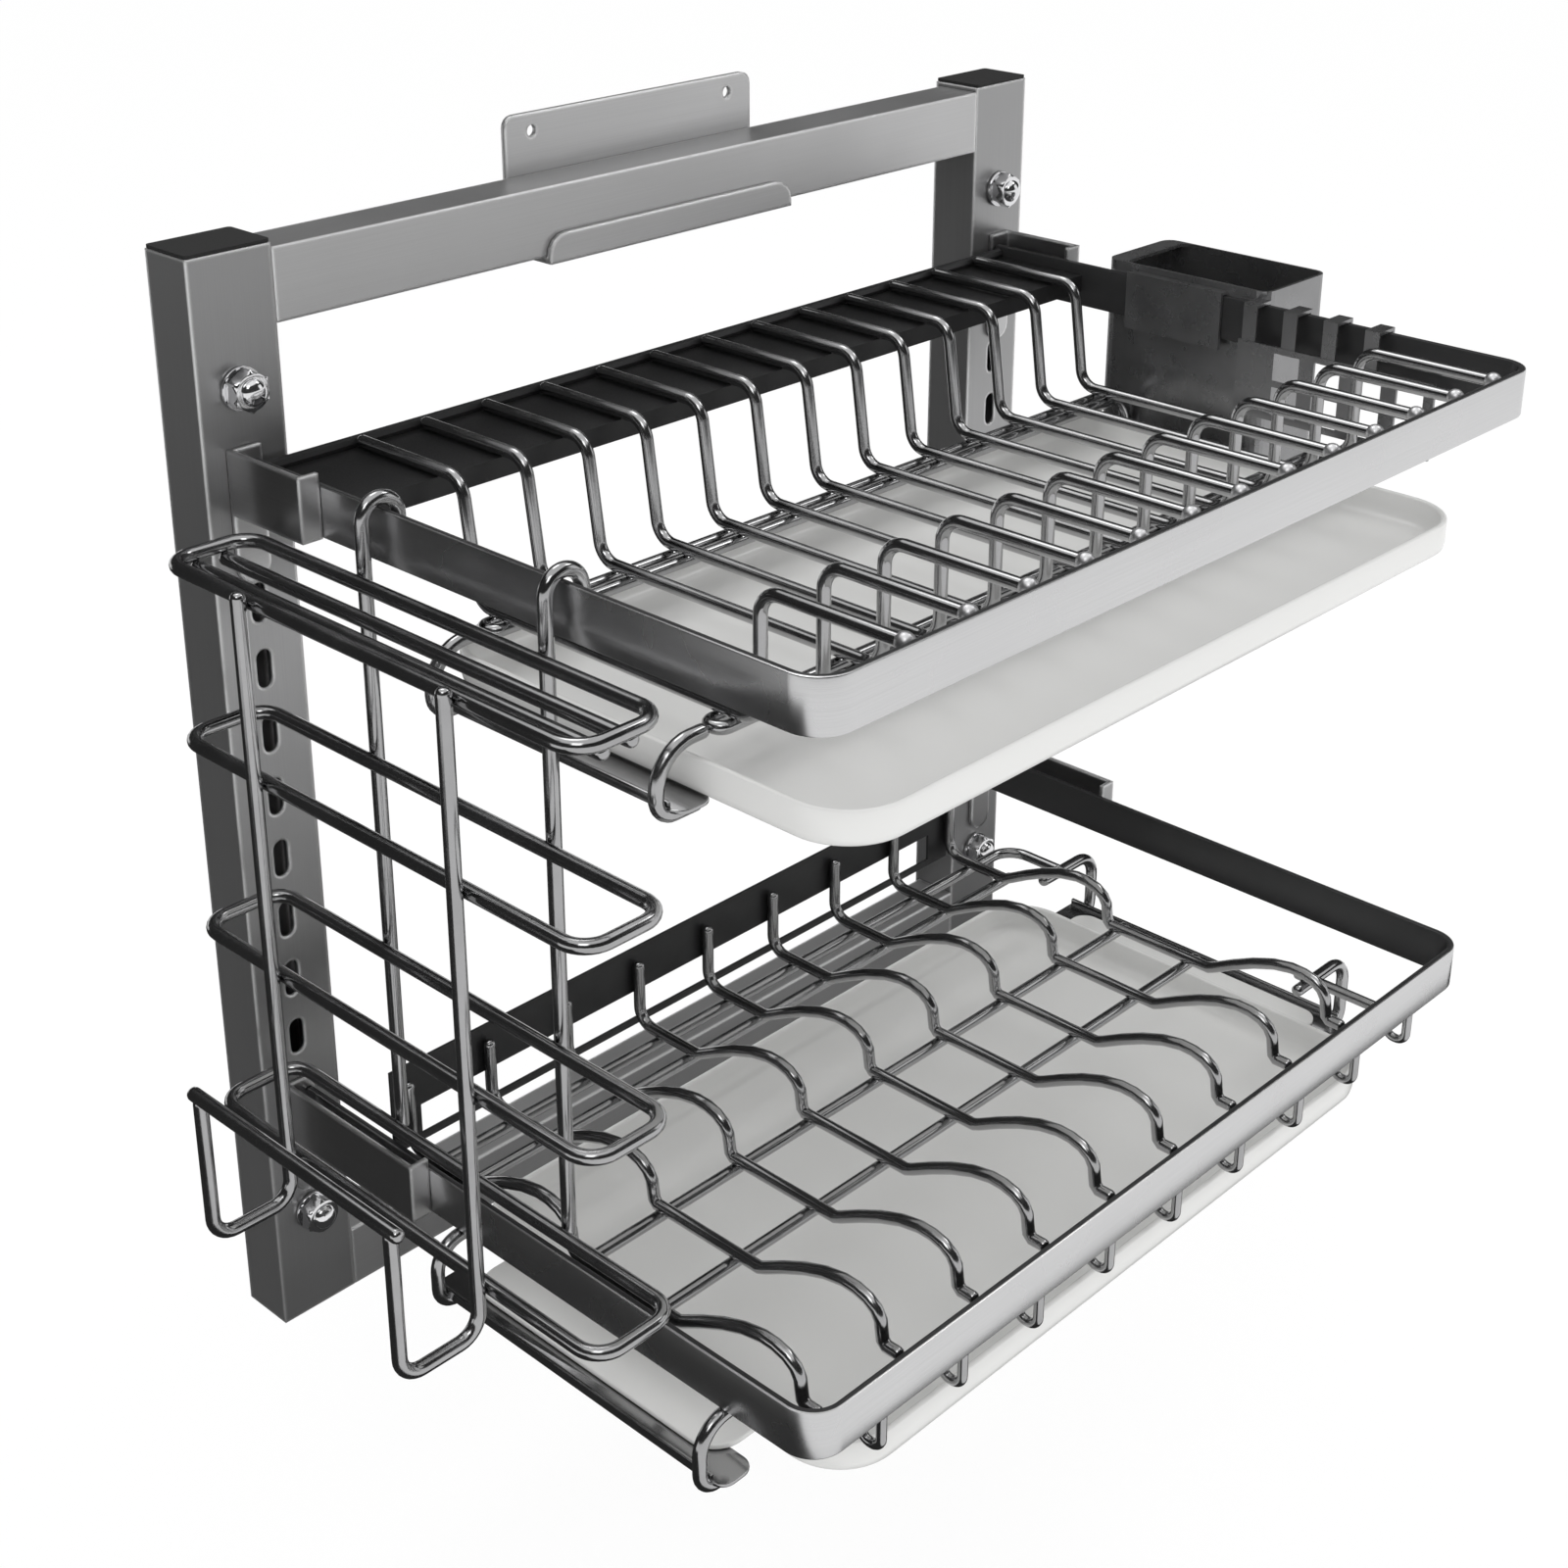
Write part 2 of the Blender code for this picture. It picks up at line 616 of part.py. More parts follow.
def rim_mesh():
    """A flat bar on edge, bent to a U that is open towards the wall."""
    rear = -POST_DEPTH - SEAT - BRACKET_SHEET - SEAT
    outer = [(-ARM_OUTER, rear), (-ARM_OUTER, -TRAY_DEPTH), (ARM_OUTER, -TRAY_DEPTH), (ARM_OUTER, rear)]
    inner = [(ARM_INNER, rear), (ARM_INNER, -BAR_INNER), (-ARM_INNER, -BAR_INNER), (-ARM_INNER, rear)]
    bend = BAR_CORNER - BAR_THICKNESS
    radii = [0, BAR_CORNER, BAR_CORNER, 0, 0, bend, bend, 0]
    return prism(rounded(outer + inner, radii), 0, BAR_HEIGHT)


def tongue_outline(slot_height):
    """Side view of the hook that reaches through a slot and drops behind the post's front wall."""
    half = SLOT_WIDTH / 2
    seat = slot_height - SLOT_HEIGHT / 2 + half
    seat += SEAT - math.sqrt(half ** 2 - (TONGUE_WIDTH / 2) ** 2)
    root = -POST_DEPTH - SEAT - BRACKET_SHEET / 2
    wall_back = -POST_DEPTH + TUBE_WALL + SEAT
    return [
        (root, seat),
        (wall_back, seat),
        (wall_back, seat - TONGUE_DROP),
        (wall_back + TONGUE_THICKNESS, seat - TONGUE_DROP),
        (wall_back + TONGUE_THICKNESS, seat + TONGUE_HEIGHT),
        (root, seat + TONGUE_HEIGHT),
    ]


def build_bracket(name, side, reach, parent):
    """A bent sheet beside the arm, with a flange on the post and two tongues in its slots."""
    back = -POST_DEPTH - SEAT
    outer, sheet = BRACKET_OUTER, BRACKET_SHEET
    weld = ARM_OUTER + SEAT
    flange = outer - BRACKET_FLANGE
    plan = [
        (flange, back), (outer, back), (outer, -reach), (weld, -reach),
        (weld, -reach + sheet), (outer - sheet, -reach + sheet),
        (outer - sheet, back - sheet), (flange, back - sheet),
    ]
    plan = [(side * x, y) for x, y in plan]
    bracket = piece(name, prism(plan, 0, BRACKET_HEIGHT), "dark_steel", parent)
    low, high = sorted((side * flange, side * outer))
    tail = rectangle(low, high, -BRACKET_TAIL, BRACKET_HEIGHT / 2)
    corner = BRACKET_FLANGE / 2 - SEAT
    join(bracket, prism(rounded(tail, [corner, corner, 0, 0]), back - sheet, back, "Y"))
    low, high = side * POST_CENTRE - TONGUE_WIDTH / 2, side * POST_CENTRE + TONGUE_WIDTH / 2
    for height in (TRAY_SLOT_RISE, TRAY_SLOT_RISE - SLOT_PITCH):
        join(bracket, prism(tongue_outline(height), low, high, "X"))


def build_runner(name, side, bulge, root, drop, top_level, depths, parent):
    """A strip with an upright lip, welded into two C-shaped wire hooks; it is returned.

    root and bulge are the inner end and the outermost line of the hooks, in X.
    """
    level = -drop - RUNNER_RADIUS
    outer = bulge - side * (RUNNER_RADIUS + SEAT)
    foot = -drop - WELD_SINK
    shelf = -drop + RUNNER_SHEET
    profile = [
        (outer, foot), (outer, -drop + RUNNER_LIP), (outer - side * RUNNER_SHEET, -drop + RUNNER_LIP),
        (outer - side * RUNNER_SHEET, shelf), (outer - side * RUNNER_WIDTH, shelf),
        (outer - side * RUNNER_WIDTH, foot),
    ]
    front = -depths[1] - RUNNER_END
    strip = piece(name, prism(profile, front, -depths[0] + RUNNER_END, "Y"), "bright_wire", parent)
    hooks = bmesh.new()
    for depth in depths:
        points = [
            (root, -depth, top_level), (bulge, -depth, top_level),
            (bulge, -depth, level), (bulge - side * HOOK_LEG, -depth, level),
        ]
        add_wire(hooks, bent(points, HOOK_BEND), RUNNER_WIRE, (0, 1, 0))
    join(strip, mesh_of("hooks", hooks, smooth=True))
    return strip


def drip_tray(name, x_low, x_high, foot, parent, flanges=None):
    """A shallow plastic tray with thin walls and large round corners.

    flanges are the outer edges of its flanges in X, if it has any.
    """
    top = foot + DRIP_HEIGHT
    body = rounded(rectangle(x_low, x_high, -DRIP_FRONT, -DRIP_REAR), [DRIP_CORNER] * 4)
    tray = piece(name, prism(body, foot, top), "white_plastic", parent)
    if flanges:
        wide = rectangle(*flanges, -DRIP_FRONT + FLANGE_SETBACK, -DRIP_REAR - FLANGE_SETBACK)
        join(tray, prism(rounded(wide, [DRIP_CORNER / 2] * 4), top - DRIP_WALL, top))
    wall = DRIP_WALL
    hollow = rectangle(x_low + wall, x_high - wall, -DRIP_FRONT + wall, -DRIP_REAR - wall)
    cut(tray, prism(rounded(hollow, [DRIP_CORNER - wall] * 4), foot + wall, top + OVERRUN))
    return tray


# The upper tray

def build_rear_plate(parent):
    """A folded sheet between the arms, with a wire along its rear edge."""
    top = DIVIDER_TOP - WIRE / 2 - SEAT
    sheet, lip = REAR_PLATE_SHEET, REAR_PLATE_LIP
    rear, front = -REAR_PLATE_REAR, -REAR_PLATE_FRONT
    outline = [
        (rear, top), (rear, top - lip), (rear - sheet, top - lip), (rear - sheet, top - sheet),
        (front + sheet, top - sheet), (front + sheet, top - lip), (front, top - lip), (front, top),
    ]
    end = ARM_INNER - SEAT
    plate = piece("upper_rear_plate", prism(outline, -end, end, "X"), "dark_steel", parent)
    level = top + WIRE / 2 - WELD_SINK
    middle = rear - WIRE / 2
    join(plate, wire([(-end, middle, level), (end, middle, level)], WIRE, (0, 0, 1)))


def build_dividers(parent):
    """Thirteen wires, each bent down to the floor and up again to the front bar, between the plates."""
    rear = -REAR_PLATE_REAR - WIRE - SEAT
    points = [
        (0, rear, DIVIDER_TOP), (0, -DIVIDER_REAR_BEND, DIVIDER_TOP),
        (0, -DIVIDER_FOOT_BEND, DIVIDER_FLOOR), (0, -DIVIDER_FRONT_BEND, DIVIDER_FLOOR),
        (0, -DIVIDER_FRONT_BEND, DIVIDER_TOP), (0, -BAR_INNER + SEAT, DIVIDER_TOP),
    ]
    mesh = wire(bent(points, DIVIDER_BEND), WIRE, (1, 0, 0))
    for i in range(DIVIDER_COUNT):
        place = (FIRST_DIVIDER + i * DIVIDER_PITCH, 0, 0)
        piece("plate_divider_%02d" % (i + 1), mesh, "bright_wire", parent, place)


def build_pair(name, depth, parent):
    """A long hairpin loop of wire under the floor wires."""
    route = loop_route(PAIR_LEFT, PAIR_RIGHT, -depth - PAIR_GAP, -depth, PAIR_LEVEL, PAIR_GAP / 2)
    piece(name, wire(route, WIRE, (0, 0, 1), closed=True), "bright_wire", parent)


def build_upper_tray(foot):
    axis = axis_empty("upper_tray_axis", foot, (0, 0, UPPER_TRAY))
    piece("upper_rim", rim_mesh(), "polished_steel", axis)
    build_rear_plate(axis)
    build_dividers(axis)
    build_pair("floor_pair_rear", PAIR_REAR, axis)
    build_pair("floor_pair_middle", PAIR_MIDDLE, axis)
    depths = [depth + PAIR_GAP / 2 for depth in (PAIR_REAR, PAIR_MIDDLE)]
    for side, word, end in ((-1, "left", PAIR_LEFT), (1, "right", PAIR_RIGHT)):
        build_bracket("upper_%s_bracket" % word, side, UPPER_BRACKET_REACH, axis)
        bulge = UPPER_HOOK_CENTRE + side * (HOOK_REACH - RUNNER_RADIUS)
        root = end + side * (WIRE / 2 + SEAT)
        build_runner("upper_%s_runner" % word, side, bulge, root, UPPER_HOOK_DROP, PAIR_LEVEL, depths, axis)
    slide = axis_empty("upper_drip_tray_axis", axis, (0, 0, 0))
    half = HOOK_REACH - UPPER_DRIP_INSET
    foot_height = -UPPER_HOOK_DROP + RUNNER_SHEET + SEAT
    drip_tray("upper_drip_tray", UPPER_HOOK_CENTRE - half, UPPER_HOOK_CENTRE + half, foot_height, slide)
    return axis


# The lower tray

def wave_route():
    """Side view of a lower tray wire: a raised rear end and two arches that lean forward."""
    points = [(0, -WAVE_REAR, WAVE_FLOOR_RISE + WAVE_REAR_HEIGHT), (0, -WAVE_REAR, WAVE_FLOOR_RISE)]
    route = [points[0]] + fillet(
        points[0], points[1], (0, -ARCH_DEPTHS[0], WAVE_FLOOR_RISE), WAVE_BEND, BEND_STEPS
    )
    for depth in ARCH_DEPTHS:
        for along, up in ARCH_SHARES:
            route.append((0, -depth - along * ARCH_LENGTH, WAVE_FLOOR_RISE + up * ARCH_HEIGHT))
    route.append((0, -BAR_INNER + WAVE_FRONT_GAP, WAVE_FLOOR_RISE))
    return route


def build_waves(parent):
    mesh = wire(wave_route(), WIRE, (1, 0, 0))
    for i in range(WAVE_COUNT):
        place = (FIRST_WAVE + i * WAVE_PITCH, 0, 0)
        piece("wave_wire_%d" % (i + 1), mesh, "bright_wire", parent, place)


def build_lower_grid(parent):
    """The wires under the wave wires: one along the rear and back to the right hook, and four that cross."""
    left = -ARM_INNER + WIRE / 2 + SEAT
    rear = -GRID_REAR_WIRES[0]
    front = -LOWER_HOOK_DEPTHS[0] - RUNNER_WIRE
    right = LAST_WAVE + GRID_OVERHANG
    edge = bent([(left, rear, GRID_LEVEL), (GRID_RIGHT, rear, GRID_LEVEL), (GRID_RIGHT, front, GRID_LEVEL)], GRID_BEND)
    grid = piece("lower_floor_grid", wire(edge, WIRE, (0, 0, 1)), "bright_wire", parent)
    routes = [
        [(left, -depth, GRID_LEVEL), (right, -depth, GRID_LEVEL)]
        for depth in (GRID_REAR_WIRES[1] + GRID_BEND, *GRID_MIDDLE_WIRES)
    ]
    join(grid, wires(routes, WIRE, (0, 0, 1)))
    tie = [(left, rear, GRID_LEVEL), (left, -GRID_MIDDLE_WIRES[1], GRID_LEVEL)]
    join(grid, wire(tie, WIRE, (0, 0, 1)))


def build_rear_sheet(parent):
    """A folded sheet behind the waves: a band on short posts over a flange, with long windows."""
    left = SEAT - ARM_INNER
    rear = -SHEET_REAR + SHEET
    foot = GRID_LEVEL + WIRE / 2 + SEAT
    upright = rectangle(-SHEET_REAR, rear, foot, SHEET_BAND_TOP)
    sheet = piece("lower_rear_sheet", prism(upright, left, SHEET_RIGHT, "X"), "dark_steel", parent)
    window = rectangle(left + SHEET_POST, SHEET_RIGHT - SHEET_POST, SHEET_WINDOW_FOOT, SHEET_BAND_FOOT)
    cut(sheet, prism(window, -SHEET_REAR - OVERRUN, rear + OVERRUN, "Y"))


def build_lower_rim(parent):
    """The lower tray's bar, with nine small hooks welded behind its front."""
    rim = piece("lower_rim", rim_mesh(), "polished_steel", parent)
    back = -BAR_INNER + FRONT_HOOK_WIRE / 2 - WELD_SINK
    hooks = bmesh.new()
    for i in range(FRONT_HOOK_COUNT):
        x = (i - (FRONT_HOOK_COUNT - 1) / 2) * FRONT_HOOK_PITCH
        foot = -FRONT_HOOK_DROP
        points = [
            (x, back, BAR_HEIGHT / 2), (x, back, foot),
            (x, back + FRONT_HOOK_CURL * 2, foot), (x, back + FRONT_HOOK_CURL * 2, foot + FRONT_HOOK_TIP),
        ]
        add_wire(hooks, bent(points, FRONT_HOOK_CURL - SEAT), FRONT_HOOK_WIRE, (1, 0, 0))
    join(rim, mesh_of("front_hooks", hooks, smooth=True))


def build_lower_tray(foot):
    axis = axis_empty("lower_tray_axis", foot, (0, 0, LOWER_TRAY))
    build_lower_rim(axis)
    build_rear_sheet(axis)
    build_waves(axis)
    build_lower_grid(axis)
    under_arm = -SEAT - RUNNER_RADIUS
    under_grid = GRID_LEVEL - WIRE / 2 - SEAT - RUNNER_RADIUS
    sides = ((-1, "left", under_arm, LEFT_HOOK_ROOT), (1, "right", under_grid, RIGHT_HOOK_ROOT))
    for side, word, level, inset in sides:
        build_bracket("lower_%s_bracket" % word, side, LOWER_BRACKET_REACH, axis)
        bulge = LOWER_HOOK_CENTRE + side * (HOOK_REACH - RUNNER_RADIUS)
        root = bulge - side * inset
        strip = build_runner(
            "lower_%s_runner" % word, side, bulge, root, LOWER_HOOK_DROP, level, LOWER_HOOK_DEPTHS, axis,
        )
        if side > 0:
            rod = level + RUNNER_RADIUS + WIRE / 2 - WELD_SINK
            ends = [(GRID_RIGHT, -BAR_INNER + SEAT, rod), (GRID_RIGHT, RUNNER_WIRE - LOWER_HOOK_DEPTHS[1], rod)]
            join(strip, wire(ends, WIRE, (0, 0, 1)))
    slide = axis_empty("lower_drip_tray_axis", axis, (0, 0, 0))
    lips = HOOK_REACH - RUNNER_WIRE - SEAT
    inner = lips - RUNNER_WIDTH
    reach = lips - RUNNER_SHEET - FLANGE_GAP
    strip_top = -LOWER_HOOK_DROP + RUNNER_SHEET
    drip_tray(
        "lower_drip_tray", LOWER_HOOK_CENTRE - inner + LEFT_DRIP_GAP, LOWER_HOOK_CENTRE + inner - RIGHT_DRIP_GAP,
        strip_top + SEAT + DRIP_WALL - DRIP_HEIGHT, slide, (LOWER_HOOK_CENTRE - reach, LOWER_HOOK_CENTRE + reach),
    )


# The board rack that hangs on the left arm

def build_board_rack(upper_axis):
    axis = axis_empty("board_rack_axis", upper_axis, (0, 0, -UPPER_TRAY))
    top = True
    for i, height in enumerate(RACK_LOOPS):
        route = loop_route(-RACK_OUTER, -RACK_INNER, -RACK_FRONT, -RACK_REAR, height, RACK_CORNER)
        loop = piece("board_loop_%d" % (i + 1), wire(route, RACK_WIRE, (0, 0, 1), closed=True), "polished_steel", axis)
        if top:
            level = height - RACK_WIRE + WELD_SINK
            lines = [-RACK_INNER - offset for offset in RACK_DIVIDERS]
            rails = [[(x, -RACK_FRONT, level), (x, -RACK_REAR, level)] for x in lines]
            join(loop, wires(rails, RACK_WIRE, (0, 0, 1)))
            top = False
    arm_top = UPPER_TRAY + BAR_HEIGHT
    steps = BEND_STEPS + 1
    lean = math.pi / 4 / steps
    apothem = HANGER_BEND * math.cos(lean) - RACK_RADIUS
    bend_height = arm_top + SEAT - (apothem - BAR_THICKNESS / 2 * math.sin(lean)) / math.cos(lean)
    foot = RACK_LOOPS[-1] - HANGER_FOOT_OVERHANG
    for depth, word in zip(HANGER_DEPTHS, ("rear", "front")):
        inner = -HANGER_X + 2 * HANGER_BEND
        crown = bend_height + HANGER_BEND
        points = [
            (-HANGER_X, -depth, foot), (-HANGER_X, -depth, crown),
            (inner, -depth, crown), (inner, -depth, bend_height - HANGER_TIP),
        ]
        route = bent(points, HANGER_BEND, steps)
        piece("board_hanger_" + word, wire(route, RACK_WIRE, (0, 1, 0)), "polished_steel", axis)
    build_cradle(axis)


def build_cradle(axis):
    """Two J-shaped wires outside the loops, joined by a bar that holds a board's edge."""
    crown = RACK_LOOPS[0] + RACK_WIRE
    routes = []
    for depth in CRADLE_DEPTHS:
        points = [
            (-CRADLE_X, -depth, crown), (-CRADLE_X, -depth, CRADLE_FOOT),
            (-CRADLE_REACH, -depth, CRADLE_FOOT), (-CRADLE_REACH, -depth, CRADLE_TOP),
        ]
        routes.append(bent(points, CRADLE_BEND))
    over = RACK_WIRE
    rail = [
        (-CRADLE_REACH, -CRADLE_DEPTHS[1] - over, CRADLE_TOP), (-CRADLE_REACH, -CRADLE_DEPTHS[0] + over, CRADLE_TOP),
    ]
    cradle = piece("board_cradle", wire(rail, RACK_WIRE, (0, 0, 1)), "polished_steel", axis)
    join(cradle, wires(routes, RACK_WIRE, (0, 1, 0)))


# What hangs on the right arm

def build_utensil_box(upper_axis):
    axis = axis_empty("utensil_box_axis", upper_axis, (0, 0, 0))
    near = ARM_OUTER + SEAT
    far = near + BOX_WIDTH
    front = -BOX_REAR - BOX_LENGTH
    rim = BAR_HEIGHT + BOX_RIM_RISE
    outline = rounded(rectangle(near, far, front, -BOX_REAR), [BOX_CORNER] * 4)
    shell = piece("utensil_box", prism(outline, rim - BOX_HEIGHT, rim), "black_plastic", axis)
    wall = BOX_WALL
    hollow = rectangle(near + wall, far - wall, front + wall, -BOX_REAR - wall)
    cut(shell, prism(rounded(hollow, [BOX_CORNER - wall] * 4), rim - BOX_HEIGHT + wall, rim - wall))
    mouth = rectangle(near + wall, far - wall, front + wall, -BOX_REAR - wall - BOX_LEDGE)
    cut(shell, prism(rounded(mouth, [BOX_CORNER - wall] * 4), rim - BOX_HEIGHT / 2, rim + OVERRUN))
    seat = BAR_HEIGHT + SEAT
    inner = ARM_INNER - SEAT
    strap = [
        (near + FLAP_SINK, seat), (near + FLAP_SINK, seat + wall), (inner - wall, seat + wall),
        (inner - wall, seat - FLAP_DROP), (inner, seat - FLAP_DROP), (inner, seat),
    ]
    rear = -BOX_REAR - FLAP_INSET
    join(shell, prism(strap, rear - FLAP_LENGTH, rear, "Y"))


def build_side_screen(upper_axis):
    """A perforated sheet inside the right arm, on four flat straps over the bar.

    The strap beside the utensil box only rests on the bar, and the others hook over it.
    """
    axis = axis_empty("side_screen_axis", upper_axis, (0, 0, 0))
    x_high = ARM_INNER - SCREEN_STANDOFF
    x_low = x_high - SCREEN_SHEET
    top = BAR_HEIGHT - SCREEN_TOP_DROP
    foot = top - SCREEN_HEIGHT
    front = -SCREEN_REAR - SCREEN_LENGTH
    screen = piece("side_screen", box(x_low, x_high, front, -SCREEN_REAR, foot, top), "black_plastic", axis)
    holes = []
    for column in range(HOLE_COLUMNS):
        for row in range(HOLE_ROWS):
            y = -SCREEN_REAR - HOLE_INSET - column * HOLE_COLUMN_PITCH
            z = top - HOLE_DROP - row * HOLE_ROW_PITCH
            holes.append(rectangle(y - HOLE_SIZE, y, z - HOLE_SIZE, z))
    cut(screen, prisms(holes, x_low - OVERRUN, x_high + OVERRUN, "X"))
    sheet = SCREEN_SHEET
    seat = BAR_HEIGHT + SEAT
    outer = ARM_OUTER + SEAT
    hook = [
        (x_low + SEAT, top - STRAP_LAP), (x_high - SEAT, top - STRAP_LAP), (x_high - SEAT, seat),
        (outer, seat), (outer, seat - STRAP_DROP), (outer + sheet, seat - STRAP_DROP),
        (outer + sheet, seat + sheet), (x_low + SEAT, seat + sheet),
    ]
    rest = [*hook[:3], (ARM_OUTER, seat), (ARM_OUTER, seat + sheet), hook[-1]]
    straps = bmesh.new()
    for i, depth in enumerate(STRAP_DEPTHS):
        add_prism(straps, hook if i else rest, -depth - STRAP_WIDTH / 2, -depth + STRAP_WIDTH / 2, "Y")
    join(screen, mesh_of("straps", straps))


def main():
    clear_scene()
    foot = axis_empty("frame_foot", None, (0, 0, -ORIGIN_HEIGHT))
    build_frame(foot)
    upper_axis = build_upper_tray(foot)
    build_lower_tray(foot)
    build_board_rack(upper_axis)
    build_utensil_box(upper_axis)
    build_side_screen(upper_axis)


main()
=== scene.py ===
"""Looks of the over-sink dish rack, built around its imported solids.

Lengths are in metres in the solids' frame: X runs along the wall, Y into the wall, Z up.
Heights and depths repeat the solids' own: depths are measured from the wall.
"""

import math

import bmesh
import bpy
from bpy.props import FloatProperty, FloatVectorProperty, IntProperty, PointerProperty
from bpy.types import Operator, Panel, PropertyGroup
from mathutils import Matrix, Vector


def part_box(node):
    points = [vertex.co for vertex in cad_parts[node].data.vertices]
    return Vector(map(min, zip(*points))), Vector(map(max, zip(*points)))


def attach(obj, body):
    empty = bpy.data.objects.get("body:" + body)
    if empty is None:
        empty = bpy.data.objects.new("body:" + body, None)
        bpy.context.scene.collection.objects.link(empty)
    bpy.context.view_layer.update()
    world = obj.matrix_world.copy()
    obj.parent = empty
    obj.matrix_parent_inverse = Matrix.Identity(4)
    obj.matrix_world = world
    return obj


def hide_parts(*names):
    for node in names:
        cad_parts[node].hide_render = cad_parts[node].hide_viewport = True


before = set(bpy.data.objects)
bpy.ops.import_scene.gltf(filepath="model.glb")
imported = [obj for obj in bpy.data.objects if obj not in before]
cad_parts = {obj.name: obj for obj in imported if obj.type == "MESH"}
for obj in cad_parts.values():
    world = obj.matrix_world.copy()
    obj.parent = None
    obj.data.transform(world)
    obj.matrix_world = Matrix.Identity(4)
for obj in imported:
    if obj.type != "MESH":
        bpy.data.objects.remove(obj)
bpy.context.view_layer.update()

bl_info = {
    "name": "Over-sink dish rack",
    "version": (1, 0, 0),
    "blender": (4, 5, 0),
    "location": "View3D > Sidebar > Dish rack",
    "description": "Builds the visible pieces, finishes and stage of a wall-hung dish rack",
    "category": "Add Mesh",
}

# Places of the trays' lower edges and of the frame's foot
FOOT = -0.45335
UPPER = 0.3613 + FOOT
LOWER = 0.0893 + FOOT

# Trays
ARM_OUTER = 0.2165
BAR_THICKNESS = 0.003
BAR_HEIGHT = 0.020
BAR_CORNER = 0.014
TRAY_DEPTH = 0.311
BAR_INNER = TRAY_DEPTH - BAR_THICKNESS
ARM_INNER = ARM_OUTER - BAR_THICKNESS
ARM_REAR = 0.0276
BAR_EDGE = 0.0007
BAR_SHADE_DEPTH = 0.0009               # how deep the outer finish goes round the bar's edges; faces deeper in get the painted shade
GAP = 0.0003
WELD_SINK = 0.0008
CORNER_STEPS = 14

# Edges of the solids that are kept
TUBE_EDGE = 0.0012
SHEET_EDGE = 0.0003
BOX_EDGE = 0.0004

# Anchor bolts, each profile as radius and distance in front of the post
BOLT_X = 0.217
BOLT_HEIGHTS = {"lower": 0.049, "upper": 0.408}
BOLT_FRONT = 0.0253
BOLT_SIDES = 40
WASHER_PROFILE = (
    (0.0045, 0.0), (0.0083, 0.0), (0.0085, 0.0003), (0.0085, 0.0011), (0.0083, 0.0014), (0.0045, 0.0014),
)
NUT_PROFILE = (
    (0.0045, 0.00145), (0.0076, 0.00145), (0.0084, 0.00195), (0.0084, 0.00695), (0.0071, 0.0078),
    (0.0066, 0.00795), (0.0045, 0.00795),
)
NUT_FLAT = 0.0072
NUT_SIDES = 48
STUD_RADIUS = 0.0037
DOME_RADIUS = 0.0052
DOME_SPAN = (0.00695, 0.00815)
DOME_HEIGHT = 0.0033

# Front hooks of the lower tray
FRONT_HOOK_COUNT = 9
FRONT_HOOK_PITCH = 0.0444
FRONT_HOOK_DROP = 0.0177
FRONT_HOOK_CURL = 0.005

# Plate dividers
FIRST_DIVIDER = -0.172
DIVIDER_PITCH = 0.03025
DIVIDER_COUNT = 13
DIVIDER_TOP = 0.0175
DIVIDER_FLOOR = -0.030
DIVIDER_REAR = 0.0331
DIVIDER_BENDS = (0.093, 0.100, 0.243)
DIVIDER_RADIUS = 0.009
BEAD_RADIUS = 0.0036
PAIR_DEPTHS = {"floor_pair_rear": 0.106, "floor_pair_middle": 0.222}
PAIR_GAP = 0.008
PAIR_SPAN = (-0.1775, 0.1965)
PAIR_LEVEL = -0.0353

# Runners
RUNNER_WIRE = 0.0055
RUNNER_SHEET = 0.0015
RUNNER_WIDTH = 0.017
RUNNER_LIP = 0.004
RUNNER_END = 0.008
RUNNER_CORNERS = (0.006, 0.001)
RUNNER_EDGE = 0.0004
HOOK_REACH = 0.211
HOOK_BEND = 0.008
UPPER_HOOKS = {"centre": 0.0045, "drop": 0.058, "depths": (0.110, 0.226), "crown": 0.016}
LOWER_HOOKS = {"centre": -0.0185, "drop": 0.0278, "depths": (0.122, 0.266), "crown": 0.012}
LOWER_HOOK_ROOTS = {-1: 0.017, 1: 0.0415}

# Drip trays, each plan as left, right, front and rear
UPPER_DRIP_PLAN = (-0.188, 0.197, -0.2985, -0.090)
LOWER_DRIP_PLAN = (-0.188, 0.1687, -0.2985, -0.090)
UPPER_DRIP_FOOT = -0.0562
LOWER_DRIP_FOOT = -0.0375
DRIP_CORNER = 0.026
FLANGE_PLAN = (-0.2157, 0.1787, -0.2625, -0.126)
FLANGE_SINK = 0.001
FLANGE_SPAN = (0.0115, 0.0139)
FLANGE_CORNERS = (0.013, 0.0078)
FLANGE_EDGE = 0.0006

# Section of a drip tray's wall from its underside to its floor, as distance inwards and height
DRIP_SECTION = (
    (0.004, 0.0), (0.0018, 0.0004), (0.0005, 0.0016), (0.0, 0.004), (0.0, 0.0133), (0.0003, 0.0138),
    (0.0009, 0.014), (0.0018, 0.014), (0.0024, 0.0136), (0.0025, 0.013), (0.0028, 0.007),
    (0.0037, 0.0042), (0.0055, 0.0029), (0.008, 0.0025),
)

